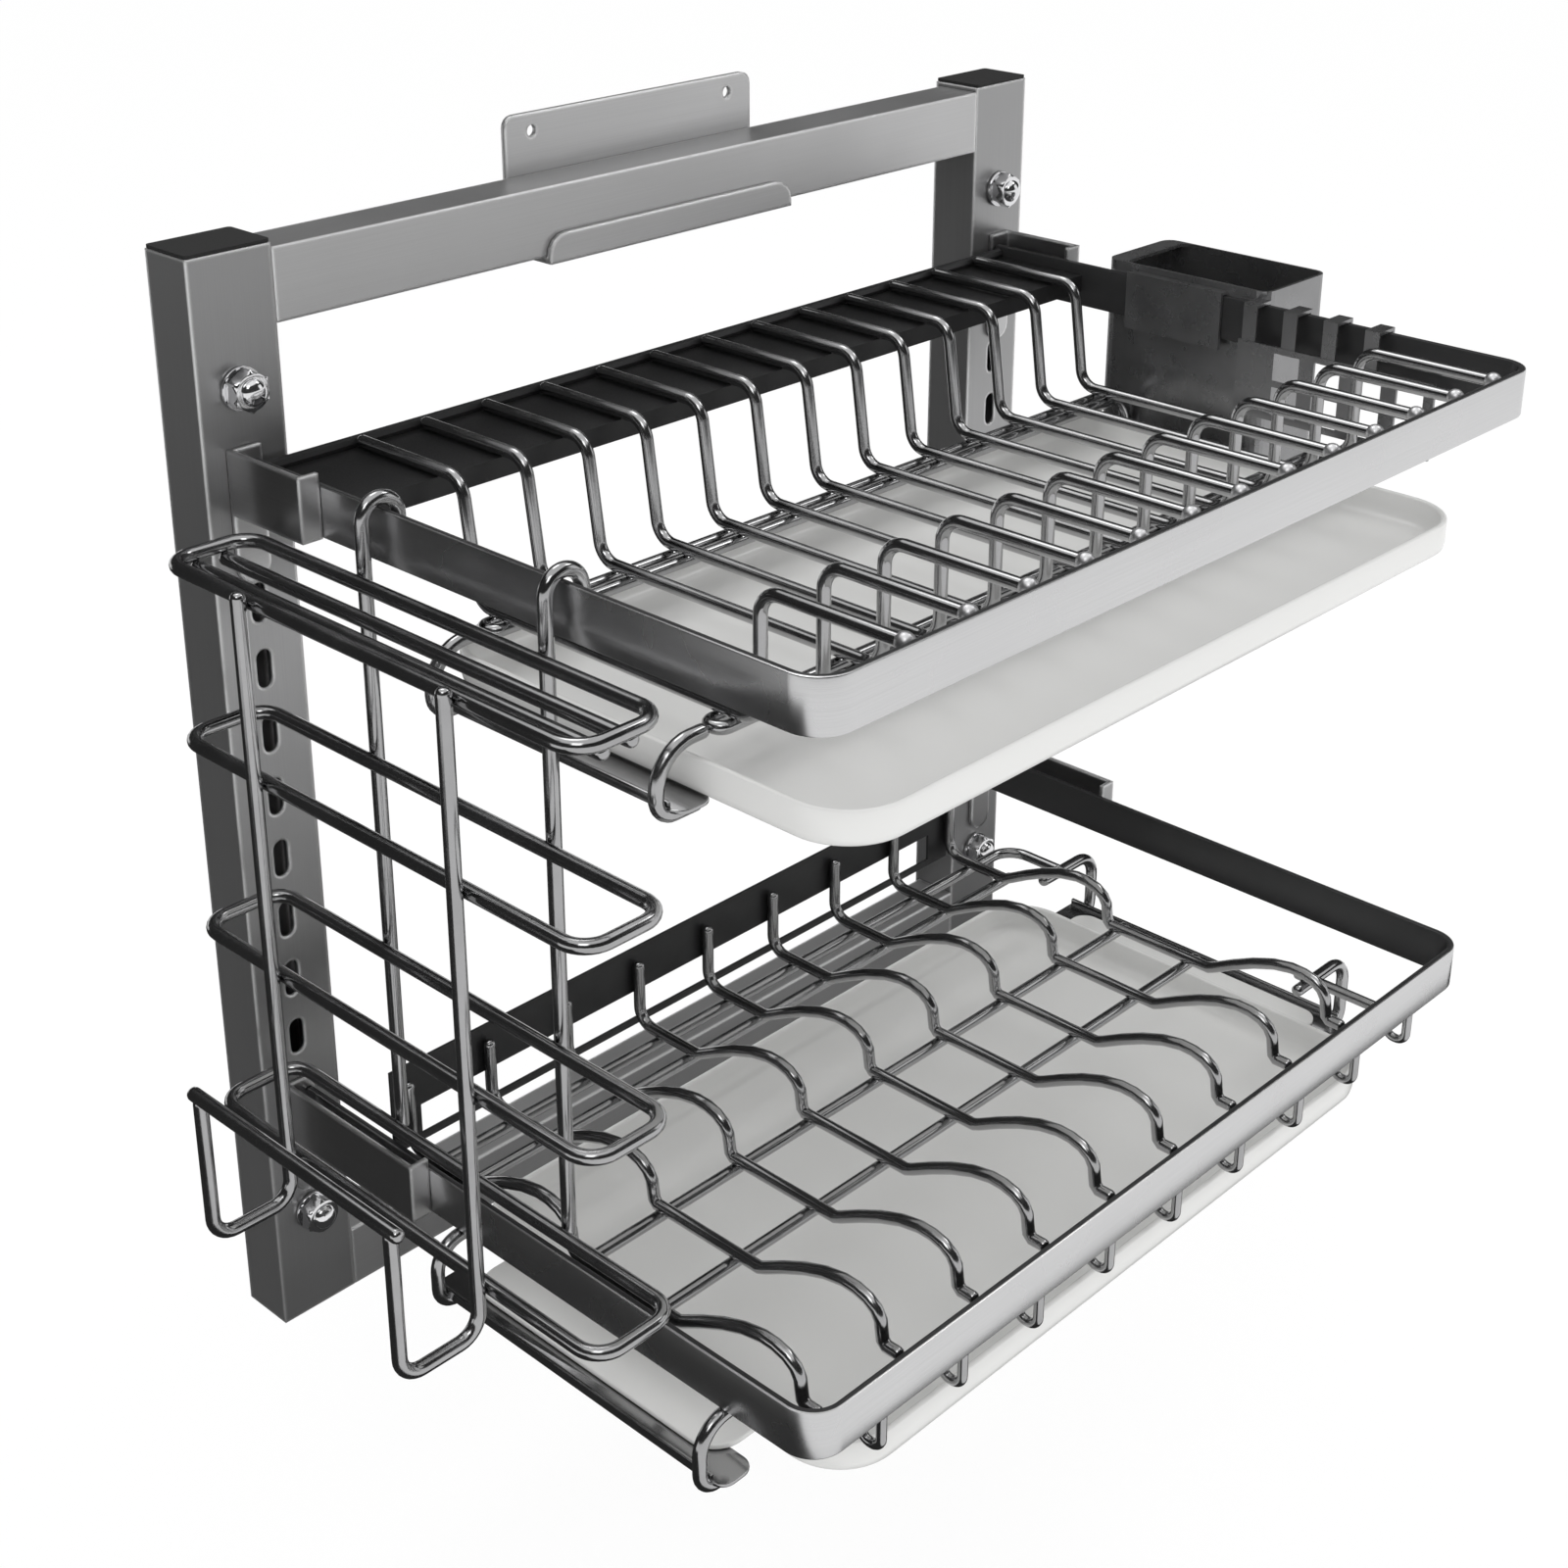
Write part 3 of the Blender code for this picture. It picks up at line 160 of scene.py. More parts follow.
# Wave wires
FIRST_WAVE = -0.2068
WAVE_PITCH = 0.0413
WAVE_COUNT = 9
WAVE_FLOOR = 0.0148
WAVE_REAR = 0.0838
WAVE_REAR_RISE = 0.0295
WAVE_BEND = 0.008
WAVE_FRONT = 0.305
ARCHES = (0.119, 0.2355)
ARCH_LENGTH = 0.060
ARCH_HEIGHT = 0.0175
ARCH_SHARES = (
    (0.0, 0.0), (0.05, 0.08), (0.21, 0.39), (0.38, 0.68), (0.55, 0.90), (0.70, 1.0), (0.80, 0.99),
    (0.89, 0.91), (0.955, 0.76), (0.99, 0.56), (1.0, 0.32), (1.01, 0.10), (1.04, 0.0),
)
GRID_LEVEL = 0.0095
GRID_LEFT = -0.2107
GRID_RIGHT = 0.156
GRID_CROSS_END = 0.1351
GRID_REAR = 0.095
GRID_FRONT = 0.1275
GRID_CROSS = (0.114, 0.182, 0.222)
GRID_BEND = 0.012

# Board rack
RACK_LOOPS = (0.358, 0.2895, 0.2116, 0.1336)
RACK_X = (-0.264, -0.2288)
RACK_Y = (-0.257, -0.0405)
RACK_CORNER = 0.010
RACK_RAILS = (-0.2405, -0.2525)
HANGER_X = -0.223
HANGER_BEND = 0.008
HANGER_TIP = 0.008
HANGER_DEPTHS = {"rear": 0.101, "front": 0.1965}
CRADLE_X = (-0.2698, -0.304)
CRADLE_DEPTHS = (0.093, 0.202)
CRADLE_FOOT = 0.118
CRADLE_TOP = 0.179
CRADLE_BEND = 0.009

# Least cosine that a corner is mitred by, and the range in which most of the noise lies
WIRE_MITRE = 0.5
OUTLINE_MITRE = 0.4
NOISE_LOW = 0.3
NOISE_HIGH = 0.7

# Cosine of the turn at which the painted edge highlight begins and is full
EDGE_TURN = {"From Min": 0.997, "From Max": 0.95}

# Camera, solved from the photograph
CAMERA_PLACE = (-0.6859, -0.7422, 0.22345)
CAMERA_TURN = (67.432, -0.11, -46.395)
CAMERA_LENS = 55.5165
CAMERA_SHIFT = -0.125

# Stage: each lamp's place and size, and the cards that reflections show
LAMPS = {
    "key": ((-1.3, -1.0, 1.5), 0.8),
    "fill": ((1.5, -1.3, 0.5), 0.9),
    "top": ((0.2, 0.6, 1.7), 0.7),
    "edge": ((1.3, -0.6, 1.4), 0.5),
}
LAMP_AIM = (0, -0.15, -0.2)
FLOOR_REACH = 6.0
FLOOR_TONE = 0.96
FLOOR_GLOW = 0.88
SIDE_CARD_X = -0.80
SIDE_CARD = (0.1, 1.7, -0.60, 0.9)
FLOOR_CARD = (-1.4, 0.7, -0.4, 1.7)
CARD_LIFT = 0.002
DOME_CARD_RADIUS = 3.2
DOME_CARD_ANGLES = (2, 46)


# Properties that a user would change

class DishRackSizes(PropertyGroup):
    """Sizes of the wires and the edges"""

    wire: FloatProperty(
        name="Tray wire", description="Diameter of the wires inside the trays", default=0.005, unit="LENGTH",
    )
    rack_wire: FloatProperty(
        name="Board rack wire", description="Diameter of the board rack's wires", default=0.0055,
        unit="LENGTH",
    )
    hook_wire: FloatProperty(
        name="Front hook wire", description="Diameter of the small hooks in front", default=0.004,
        unit="LENGTH",
    )
    soft_edge: FloatProperty(
        name="Edge rounding", description="How far the edges of sheet and bar are rounded", default=0.0005,
        unit="LENGTH",
    )
    wire_sides: IntProperty(name="Wire sides", description="Faces round a wire", default=16, min=8, max=48)
    bend_steps: IntProperty(name="Bend steps", description="Runs in a wire's bend", default=8, min=3, max=24)


class DishRackFinishes(PropertyGroup):
    """Colours of the finishes"""

    frame_steel: FloatVectorProperty(
        name="Frame steel", description="Colour of the posts", subtype="COLOR",
        default=(0.34, 0.34, 0.343), min=0, max=1,
    )
    crossbar_steel: FloatVectorProperty(
        name="Crossbar steel", description="Colour of crossbars, wall plate and brackets", subtype="COLOR",
        default=(0.5, 0.5, 0.503), min=0, max=1,
    )
    # Painted highlight: the light colour mixed onto the edges of tubes, plate and brackets
    painted_edge_highlight: FloatVectorProperty(
        name="Worn edge", description="Colour of the edges of tubes, plate and brackets", subtype="COLOR",
        default=(0.95, 0.95, 0.95), min=0, max=1,
    )
    bar_steel: FloatVectorProperty(
        name="Bar steel", description="Colour of the trays' flat bars", subtype="COLOR",
        default=(0.62, 0.62, 0.625), min=0, max=1,
    )
    # Painted shade: a dark copy of the bar steel for the bars' upper edges and inner sides
    bar_inside: FloatVectorProperty(
        name="Bar inside", description="Colour of the bars' upper edges and inner sides", subtype="COLOR",
        default=(0.055, 0.055, 0.056), min=0, max=1,
    )
    wire_steel: FloatVectorProperty(
        name="Wire steel", description="Colour of the plated wires", subtype="COLOR",
        default=(0.39, 0.39, 0.394), min=0, max=1,
    )
    dark_sheet: FloatVectorProperty(
        name="Dark sheet", description="Colour of the folded sheets", subtype="COLOR",
        default=(0.045, 0.045, 0.046), min=0, max=1,
    )
    zinc: FloatVectorProperty(
        name="Zinc", description="Colour of the anchor bolts and the weld beads", subtype="COLOR",
        default=(0.72, 0.72, 0.73), min=0, max=1,
    )
    box_coat: FloatVectorProperty(
        name="Box coat", description="Colour of the box's and the screen's glossy dark coat", subtype="COLOR",
        default=(0.26, 0.26, 0.264), min=0, max=1,
    )
    black_plastic: FloatVectorProperty(
        name="Black plastic", description="Colour of the post caps", subtype="COLOR",
        default=(0.022, 0.022, 0.023), min=0, max=1,
    )
    white_plastic: FloatVectorProperty(
        name="White plastic", description="Colour of the drip trays", subtype="COLOR",
        default=(0.93, 0.93, 0.935), min=0, max=1,
    )


class DishRackStage(PropertyGroup):
    """Light and floor of the stage"""

    key_power: FloatProperty(
        name="Key lamp", description="Power of the key lamp", default=6.0, unit="POWER",
    )
    fill_power: FloatProperty(
        name="Fill lamp", description="Power of the fill lamp", default=2.5, unit="POWER",
    )
    top_power: FloatProperty(
        name="Top lamp", description="Power of the lamp above", default=4.0, unit="POWER",
    )
    edge_power: FloatProperty(
        name="Edge lamp", description="Power of the lamp that lights the edges", default=3.0, unit="POWER",
    )
    card_tone: FloatProperty(
        name="Card tone", description="Brightness of the cards that reflections show", default=0.04,
    )
    sky: FloatProperty(name="Sky", description="Strength of the world's light on the object", default=1.0)
    floor_drop: FloatProperty(
        name="Floor drop", description="How far the floor is below the frame's foot", default=0.16,
        unit="LENGTH",
    )


# Meshes

def mesh_of(name, shape, angle=35.0):
    """A mesh with its faces pointing out, smooth where faces meet under the angle."""
    bmesh.ops.recalc_face_normals(shape, faces=shape.faces)
    mesh = bpy.data.meshes.new(name)
    shape.to_mesh(mesh)
    shape.free()
    mesh.shade_smooth()
    mesh.set_sharp_from_angle(angle=math.radians(angle))
    return mesh


def fillet(before, corner, after, radius, steps):
    """Points of the arc that rounds a corner."""
    back = (Vector(before) - Vector(corner)).normalized()
    onward = (Vector(after) - Vector(corner)).normalized()
    turn = math.pi - back.angle(onward)
    if turn < math.radians(1) or radius <= 0:
        return [tuple(corner)]
    inward = (back + onward).normalized()
    along = (onward - back).normalized()
    centre = Vector(corner) + inward * (radius / math.cos(turn / 2))
    arc = []
    for i in range(steps + 1):
        angle = turn * (i / steps - 1 / 2)
        arc.append(tuple(centre + (along * math.sin(angle) - inward * math.cos(angle)) * radius))
    return arc


def bent(points, radius, steps):
    """A wire's route with a round bend at each inner point."""
    route = [points[0]]
    for i in range(1, len(points) - 1):
        route += fillet(points[i - 1], points[i], points[i + 1], radius, steps)
    route.append(points[-1])
    return [p for i, p in enumerate(route) if i == 0 or math.dist(p, route[i - 1]) > GAP / 2]


def rounded(outline, radii, steps=10):
    """A closed outline with one radius for each corner."""
    points = []
    count = len(outline)
    for i in range(count):
        points += fillet(outline[i - 1], outline[i], outline[(i + 1) % count], radii[i], steps)
    return points


def rectangle(u_low, u_high, v_low, v_high):
    """The corners of a rectangle in a plane."""
    return [(u_low, v_low), (u_high, v_low), (u_high, v_high), (u_low, v_high)]


def add_wire(shape, route, diameter, normal, sides, closed=False):
    """Sweep a round wire along a flat route; its free ends are domed."""
    centres = [Vector(p) for p in route]
    normal = Vector(normal).normalized()
    swell = [1.0] * len(centres)
    if not closed:
        centres, swell = dome_ends(centres, diameter / 2)
    count = len(centres)
    rings = []
    for i, centre in enumerate(centres):
        ahead = centres[(i + 1) % count] - centre if closed or i < count - 1 else None
        behind = centre - centres[i - 1] if closed or i > 0 else None
        ahead = (ahead or behind).normalized()
        behind = (behind or ahead).normalized()
        tangent = (ahead + behind).normalized()
        side = tangent.cross(normal).normalized()
        stretch = 1 / max(tangent.dot(ahead), WIRE_MITRE)
        ring = []
        for k in range(sides):
            angle = math.tau * k / sides
            across = side * (math.cos(angle) * stretch) + normal * math.sin(angle)
            ring.append(centre + across * (diameter / 2 * swell[i]))
        rings.append(ring)
    add_loft(shape, rings, ends="joined" if closed else "flat")


def dome_ends(centres, radius):
    """More rings at both ends of a route, with the share of the radius that each has."""
    shares = ((0.0, 0.35), (0.12, 0.66), (0.36, 0.89), (0.68, 0.985))
    first = (centres[1] - centres[0]).normalized() * radius
    last = (centres[-2] - centres[-1]).normalized() * radius
    head = [centres[0] + first * along for along, _ in shares]
    tail = [centres[-1] + last * along for along, _ in reversed(shares)]
    middle = [centres[0] + first, *centres[1:-1], centres[-1] + last]
    swell = [s for _, s in shares] + [1.0] * len(middle) + [s for _, s in reversed(shares)]
    return head + middle + tail, swell


def wire_mesh(name, routes, diameter, normal, closed=False):
    """One mesh of wires along flat routes that share a normal."""
    shape = bmesh.new()
    sides = bpy.context.scene.dish_rack_sizes.wire_sides
    for route in routes:
        add_wire(shape, route, diameter, normal, sides, closed)
    return mesh_of(name, shape)


def add_ball(shape, centre, radius, turns=20, bands=12):
    """A small weld bead, in rings between two poles."""
    rings = []
    for i in range(1, bands):
        slope = math.pi * i / bands
        flat = radius * math.sin(slope)
        ring = []
        for k in range(turns):
            way = math.tau * k / turns
            offset = Vector((flat * math.cos(way), flat * math.sin(way), radius * math.cos(slope)))
            ring.append(Vector(centre) + offset)
        rings.append(ring)
    made = add_loft(shape, rings, ends="open")
    for ring, height in ((made[0], radius), (made[-1], -radius)):
        pole = shape.verts.new(Vector(centre) + Vector((0, 0, height)))
        for k in range(turns):
            shape.faces.new((pole, ring[k], ring[(k + 1) % turns]))


def add_loft(shape, rings, ends="flat"):
    """Skin rings of points that have the same count; the ends are flat, open or joined."""
    made = [[shape.verts.new(p) for p in ring] for ring in rings]
    following = made[1:] + made[:1] if ends == "joined" else made[1:]
    for here, there in zip(made, following):
        for k in range(len(here)):
            m = (k + 1) % len(here)
            shape.faces.new((here[k], here[m], there[m], there[k]))
    if ends == "flat":
        shape.faces.new(made[0])
        shape.faces.new(made[-1])
    return made


def add_bar(shape, outline, low, high, edge):
    """An upright prism whose upper and lower edges are rounded off by edge."""
    share = edge * (1 - math.sqrt(0.5))
    inner = inset(outline, edge)
    soft = inset(outline, share)
    levels = [
        (inner, low), (soft, low + share), (outline, low + edge),
        (outline, high - edge), (soft, high - share), (inner, high),
    ]
    add_loft(shape, [[(x, y, z) for x, y in ring] for ring, z in levels])


def inset(outline, distance):
    """Move each point of a closed outline inwards by the distance."""
    area = sum(a[0] * b[1] - b[0] * a[1] for a, b in zip(outline, outline[1:] + outline[:1]))
    sign = 1 if area > 0 else -1
    moved = []
    count = len(outline)
    for i, point in enumerate(outline):
        before = (Vector(point) - Vector(outline[i - 1])).normalized()
        after = (Vector(outline[(i + 1) % count]) - Vector(point)).normalized()
        mean = (before + after).normalized()
        side = Vector((-mean.y, mean.x)) * sign
        square = Vector((-before.y, before.x)) * sign
        share = max(side.dot(square), OUTLINE_MITRE)
        moved.append(tuple(Vector(point) + side * (distance / share)))
    return moved


def add_lathe(shape, profile, x, z, sides, reach=None):
    """Turn a profile of (radius, depth) about an axis along Y; reach limits or shapes each ring."""
    rings = []
    for radius, y in profile:
        ring = []
        for k in range(sides):
            angle = math.tau * k / sides
            r = min(radius, reach(angle)) if reach else radius
            ring.append((x + r * math.cos(angle), y, z + r * math.sin(angle)))
        rings.append(ring)
    add_loft(shape, rings)


# Finishes

def node(tree, kind, place, **values):
    """A shader node with its settings."""
    made = tree.nodes.new(kind)
    made.location = place
    for key, value in values.items():
        if key in made.inputs:
            made.inputs[key].default_value = value
        else:
            setattr(made, key, value)
    return made


def new_finish(name):
    """A material, its nodes and its shader."""
    made = bpy.data.materials.new(name)
    made.use_nodes = True
    tree = made.node_tree
    return made, tree, tree.nodes["Principled BSDF"]


def grain(tree, stretch, detail, place):
    """Noise in the solids' frame, stretched by the scale along each axis."""
    where = node(tree, "ShaderNodeTexCoord", (place[0] - 400, place[1]))
    turned = node(tree, "ShaderNodeMapping", (place[0] - 200, place[1]), Scale=stretch)
    made = node(tree, "ShaderNodeTexNoise", place, Scale=1.0, Detail=detail, Roughness=0.6)
    tree.links.new(where.outputs["Object"], turned.inputs["Vector"])
    tree.links.new(turned.outputs["Vector"], made.inputs["Vector"])
    return made.outputs["Fac"]


def spread(tree, value, low, high, place):
    """Map the noise's range to low and high."""
    ranges = {"From Min": NOISE_LOW, "From Max": NOISE_HIGH, "To Min": low, "To Max": high}
    made = node(tree, "ShaderNodeMapRange", place, **ranges)
    tree.links.new(value, made.inputs["Value"])
    return made.outputs["Result"]


def tinted(tree, value, colour, dark, light, place):
    """A colour that varies between two shares of itself."""
    made = node(tree, "ShaderNodeValToRGB", place)
    ends = made.color_ramp.elements
    ends[0].position, ends[1].position = NOISE_LOW, NOISE_HIGH
    ends[0].color = (*[c * dark for c in colour], 1)
    ends[1].color = (*[min(c * light, 1) for c in colour], 1)
    tree.links.new(value, made.inputs["Fac"])
    return made.outputs["Color"]


def raised(tree, shader, value, place, strength, distance, normal=None):
    """Raise the surface by a value, over the normal given."""
    made = node(tree, "ShaderNodeBump", place, Strength=strength, Distance=distance)
    tree.links.new(value, made.inputs["Height"])
    if normal:
        tree.links.new(normal, made.inputs["Normal"])
    tree.links.new(made.outputs["Normal"], shader.inputs["Normal"])


def paint_edge_highlight(tree, colour, light, place):
    """A painted highlight: the colour turns lighter where the surface turns round an edge; also the rounded
    normal.
    """
    round_off = node(tree, "ShaderNodeBevel", (place[0] - 600, place[1]), Radius=0.002, samples=4)
    flat = node(tree, "ShaderNodeNewGeometry", (place[0] - 600, place[1] - 200))
    turn = node(tree, "ShaderNodeVectorMath", (place[0] - 400, place[1]), operation="DOT_PRODUCT")
    share = node(tree, "ShaderNodeMapRange", (place[0] - 200, place[1]), **EDGE_TURN)
    highlighted = node(tree, "ShaderNodeMixRGB", place, Color2=(*light, 1))
    tree.links.new(round_off.outputs["Normal"], turn.inputs[0])
    tree.links.new(flat.outputs["True Normal"], turn.inputs[1])
    tree.links.new(turn.outputs["Value"], share.inputs["Value"])
    tree.links.new(share.outputs["Result"], highlighted.inputs["Fac"])
    tree.links.new(colour, highlighted.inputs["Color1"])
    return highlighted.outputs["Color"], round_off.outputs["Normal"]


def brushed_finish(name, colour, rough, stretch, strength=0.07, metallic=1.0, edge=None):
    """Metal with fine brush lines, large soft smudges and, where edge is a colour, a painted highlight on its
    edges.
    """
    made, tree, shader = new_finish(name)
    lines = grain(tree, stretch, 3.0, (-700, 200))
    cloud = grain(tree, (14, 14, 14), 4.0, (-700, -200))
    shader.inputs["Metallic"].default_value = metallic
    tint = tinted(tree, lines, colour, 0.965, 1.035, (-350, 300))
    soft = None
    if edge:
        tint, soft = paint_edge_highlight(tree, tint, edge, (-100, 500))
    tree.links.new(tint, shader.inputs["Base Color"])
    tree.links.new(spread(tree, cloud, rough - 0.03, rough + 0.04, (-350, 0)), shader.inputs["Roughness"])
    raised(tree, shader, lines, (-250, -300), strength=strength, distance=0.00005, normal=soft)
    return made


def plated_finish(name, colour, rough):
    """Bright plated wire with a faint orange peel."""
    made, tree, shader = new_finish(name)
    peel = grain(tree, (260, 260, 260), 2.0, (-700, 200))
    cloud = grain(tree, (40, 40, 40), 4.0, (-700, -200))
    shader.inputs["Metallic"].default_value = 1.0
    tree.links.new(tinted(tree, cloud, colour, 0.90, 1.10, (-350, 300)), shader.inputs["Base Color"])
    tree.links.new(spread(tree, cloud, rough - 0.04, rough + 0.05, (-350, 0)), shader.inputs["Roughness"])
    raised(tree, shader, peel, (-250, -300), strength=0.06, distance=0.0002)
    return made


def coated_finish(name, colour, rough, metallic, fine=1400, relief=0.10):
    """Dark coat with a fine powder texture."""
    made, tree, shader = new_finish(name)
    powder = grain(tree, (fine, fine, fine), 2.0, (-700, 200))
    cloud = grain(tree, (18, 18, 18), 4.0, (-700, -200))
    shader.inputs["Metallic"].default_value = metallic
    tree.links.new(tinted(tree, cloud, colour, 0.85, 1.15, (-350, 300)), shader.inputs["Base Color"])
    tree.links.new(spread(tree, powder, rough - 0.05, rough + 0.06, (-350, 0)), shader.inputs["Roughness"])
    raised(tree, shader, powder, (-250, -300), strength=relief, distance=0.0001)
    return made


def moulded_finish(name, colour, rough, fine, glow=0.0):
    """Moulded plastic with a fine grain; glow is the share of light that goes through the walls."""
    made, tree, shader = new_finish(name)
    skin = grain(tree, (fine, fine, fine), 2.0, (-700, 200))
    cloud = grain(tree, (22, 22, 22), 3.0, (-700, -200))
    shader.inputs["IOR"].default_value = 1.49
    if glow:
        shader.inputs["Subsurface Weight"].default_value = glow
        shader.inputs["Subsurface Radius"].default_value = (0.006, 0.006, 0.006)
        shader.inputs["Subsurface Scale"].default_value = 1.0
    tree.links.new(tinted(tree, cloud, colour, 0.95, 1.05, (-350, 300)), shader.inputs["Base Color"])
    tree.links.new(spread(tree, skin, rough - 0.05, rough + 0.05, (-350, 0)), shader.inputs["Roughness"])
    raised(tree, shader, skin, (-250, -300), strength=0.08, distance=0.0001)
    return made


# Stretch of the brush lines along each axis
ALONG_X = (9, 2600, 2600)
ALONG_Z = (2600, 2600, 9)
LEVEL = (9, 9, 3000)


def finish(name):
    """One of the rack's finishes, made once."""
    found = bpy.data.materials.get(name)
    if found:
        return found
    colours = bpy.context.scene.dish_rack_finishes
    # edge carries the colour of the painted edge highlight
    edge = colours.painted_edge_highlight
    recipes = {
        "post_steel": lambda: brushed_finish(
            name, colours.frame_steel, 0.34, ALONG_Z, metallic=0.85, edge=edge),
        "crossbar_steel": lambda: brushed_finish(
            name, colours.crossbar_steel, 0.34, ALONG_X, metallic=0.85, edge=edge),
        "bracket_steel": lambda: brushed_finish(name, colours.crossbar_steel, 0.30, LEVEL, edge=edge),
        "bar_steel": lambda: brushed_finish(name, colours.bar_steel, 0.27, LEVEL, strength=0.025),
        # Painted shade: a darker copy of the bar steel, for the bars' upper edges and inner sides
        "bar_inside": lambda: brushed_finish(name, colours.bar_inside, 0.38, LEVEL, metallic=0.6),
        "wire_steel": lambda: plated_finish(name, colours.wire_steel, 0.16),
        "dark_sheet": lambda: coated_finish(name, colours.dark_sheet, 0.36, 0.7),
        "zinc": lambda: plated_finish(name, colours.zinc, 0.16),
        "weld_bead": lambda: plated_finish(name, colours.zinc, 0.42),
        "box_coat": lambda: coated_finish(name, colours.box_coat, 0.28, 0.9, fine=90, relief=0.03),
        "black_plastic": lambda: moulded_finish(name, colours.black_plastic, 0.36, 1500),
        "white_plastic": lambda: moulded_finish(name, colours.white_plastic, 0.30, 700, glow=0.15),
    }
    return recipes[name]()


# Pieces

def piece(name, mesh, look, body, nodes=(), place=(0, 0, 0)):
    """A shown piece that rides on a body and stands for the nodes."""
    obj = bpy.data.objects.new(name, mesh)
    bpy.context.scene.collection.objects.link(obj)
    obj.location = place
    if not mesh.materials:
        mesh.materials.append(finish(look))
    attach(obj, body)
    if nodes:
        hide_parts(*nodes)


def stand_in(name, mesh, look, body, place=(0, 0, 0)):
    """A piece that stands for the node of its name."""
    piece(name + "_piece", mesh, look, body, [name], place)


def dress(name, look, edge=None):
    """Keep a solid, round its edges and give it its finish."""
    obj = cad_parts[name]
    if not obj.material_slots:
        obj.data.materials.append(finish(look))
    for slot in obj.material_slots:
        slot.link = "OBJECT"
        slot.material = finish(look)
    size = bpy.context.scene.dish_rack_sizes.soft_edge if edge is None else edge
    if size:
        soft = obj.modifiers.new("Soft edges", "BEVEL")
        soft.width = size
        soft.segments = 2
        soft.limit_method = "ANGLE"
        soft.angle_limit = math.radians(40)
        soft.harden_normals = True


class DishRackPiece:
    """What every operator of the rack shares."""

    bl_options = {"REGISTER", "UNDO"}

    @property
    def sizes(self):
        """The sizes that the sidebar shows."""
        return bpy.context.scene.dish_rack_sizes


def is_ray(tree, kinds):
    """One for rays of any of the kinds, and zero for all others."""
    path = node(tree, "ShaderNodeLightPath", (-800, 0))
    found = path.outputs[kinds[0]]
    for i, kind in enumerate(kinds[1:]):
        either = node(tree, "ShaderNodeMath", (200 * i - 600, 100), operation="MAXIMUM")
        tree.links.new(found, either.inputs[0])
        tree.links.new(path.outputs[kind], either.inputs[1])
        found = either.outputs[0]
    return found


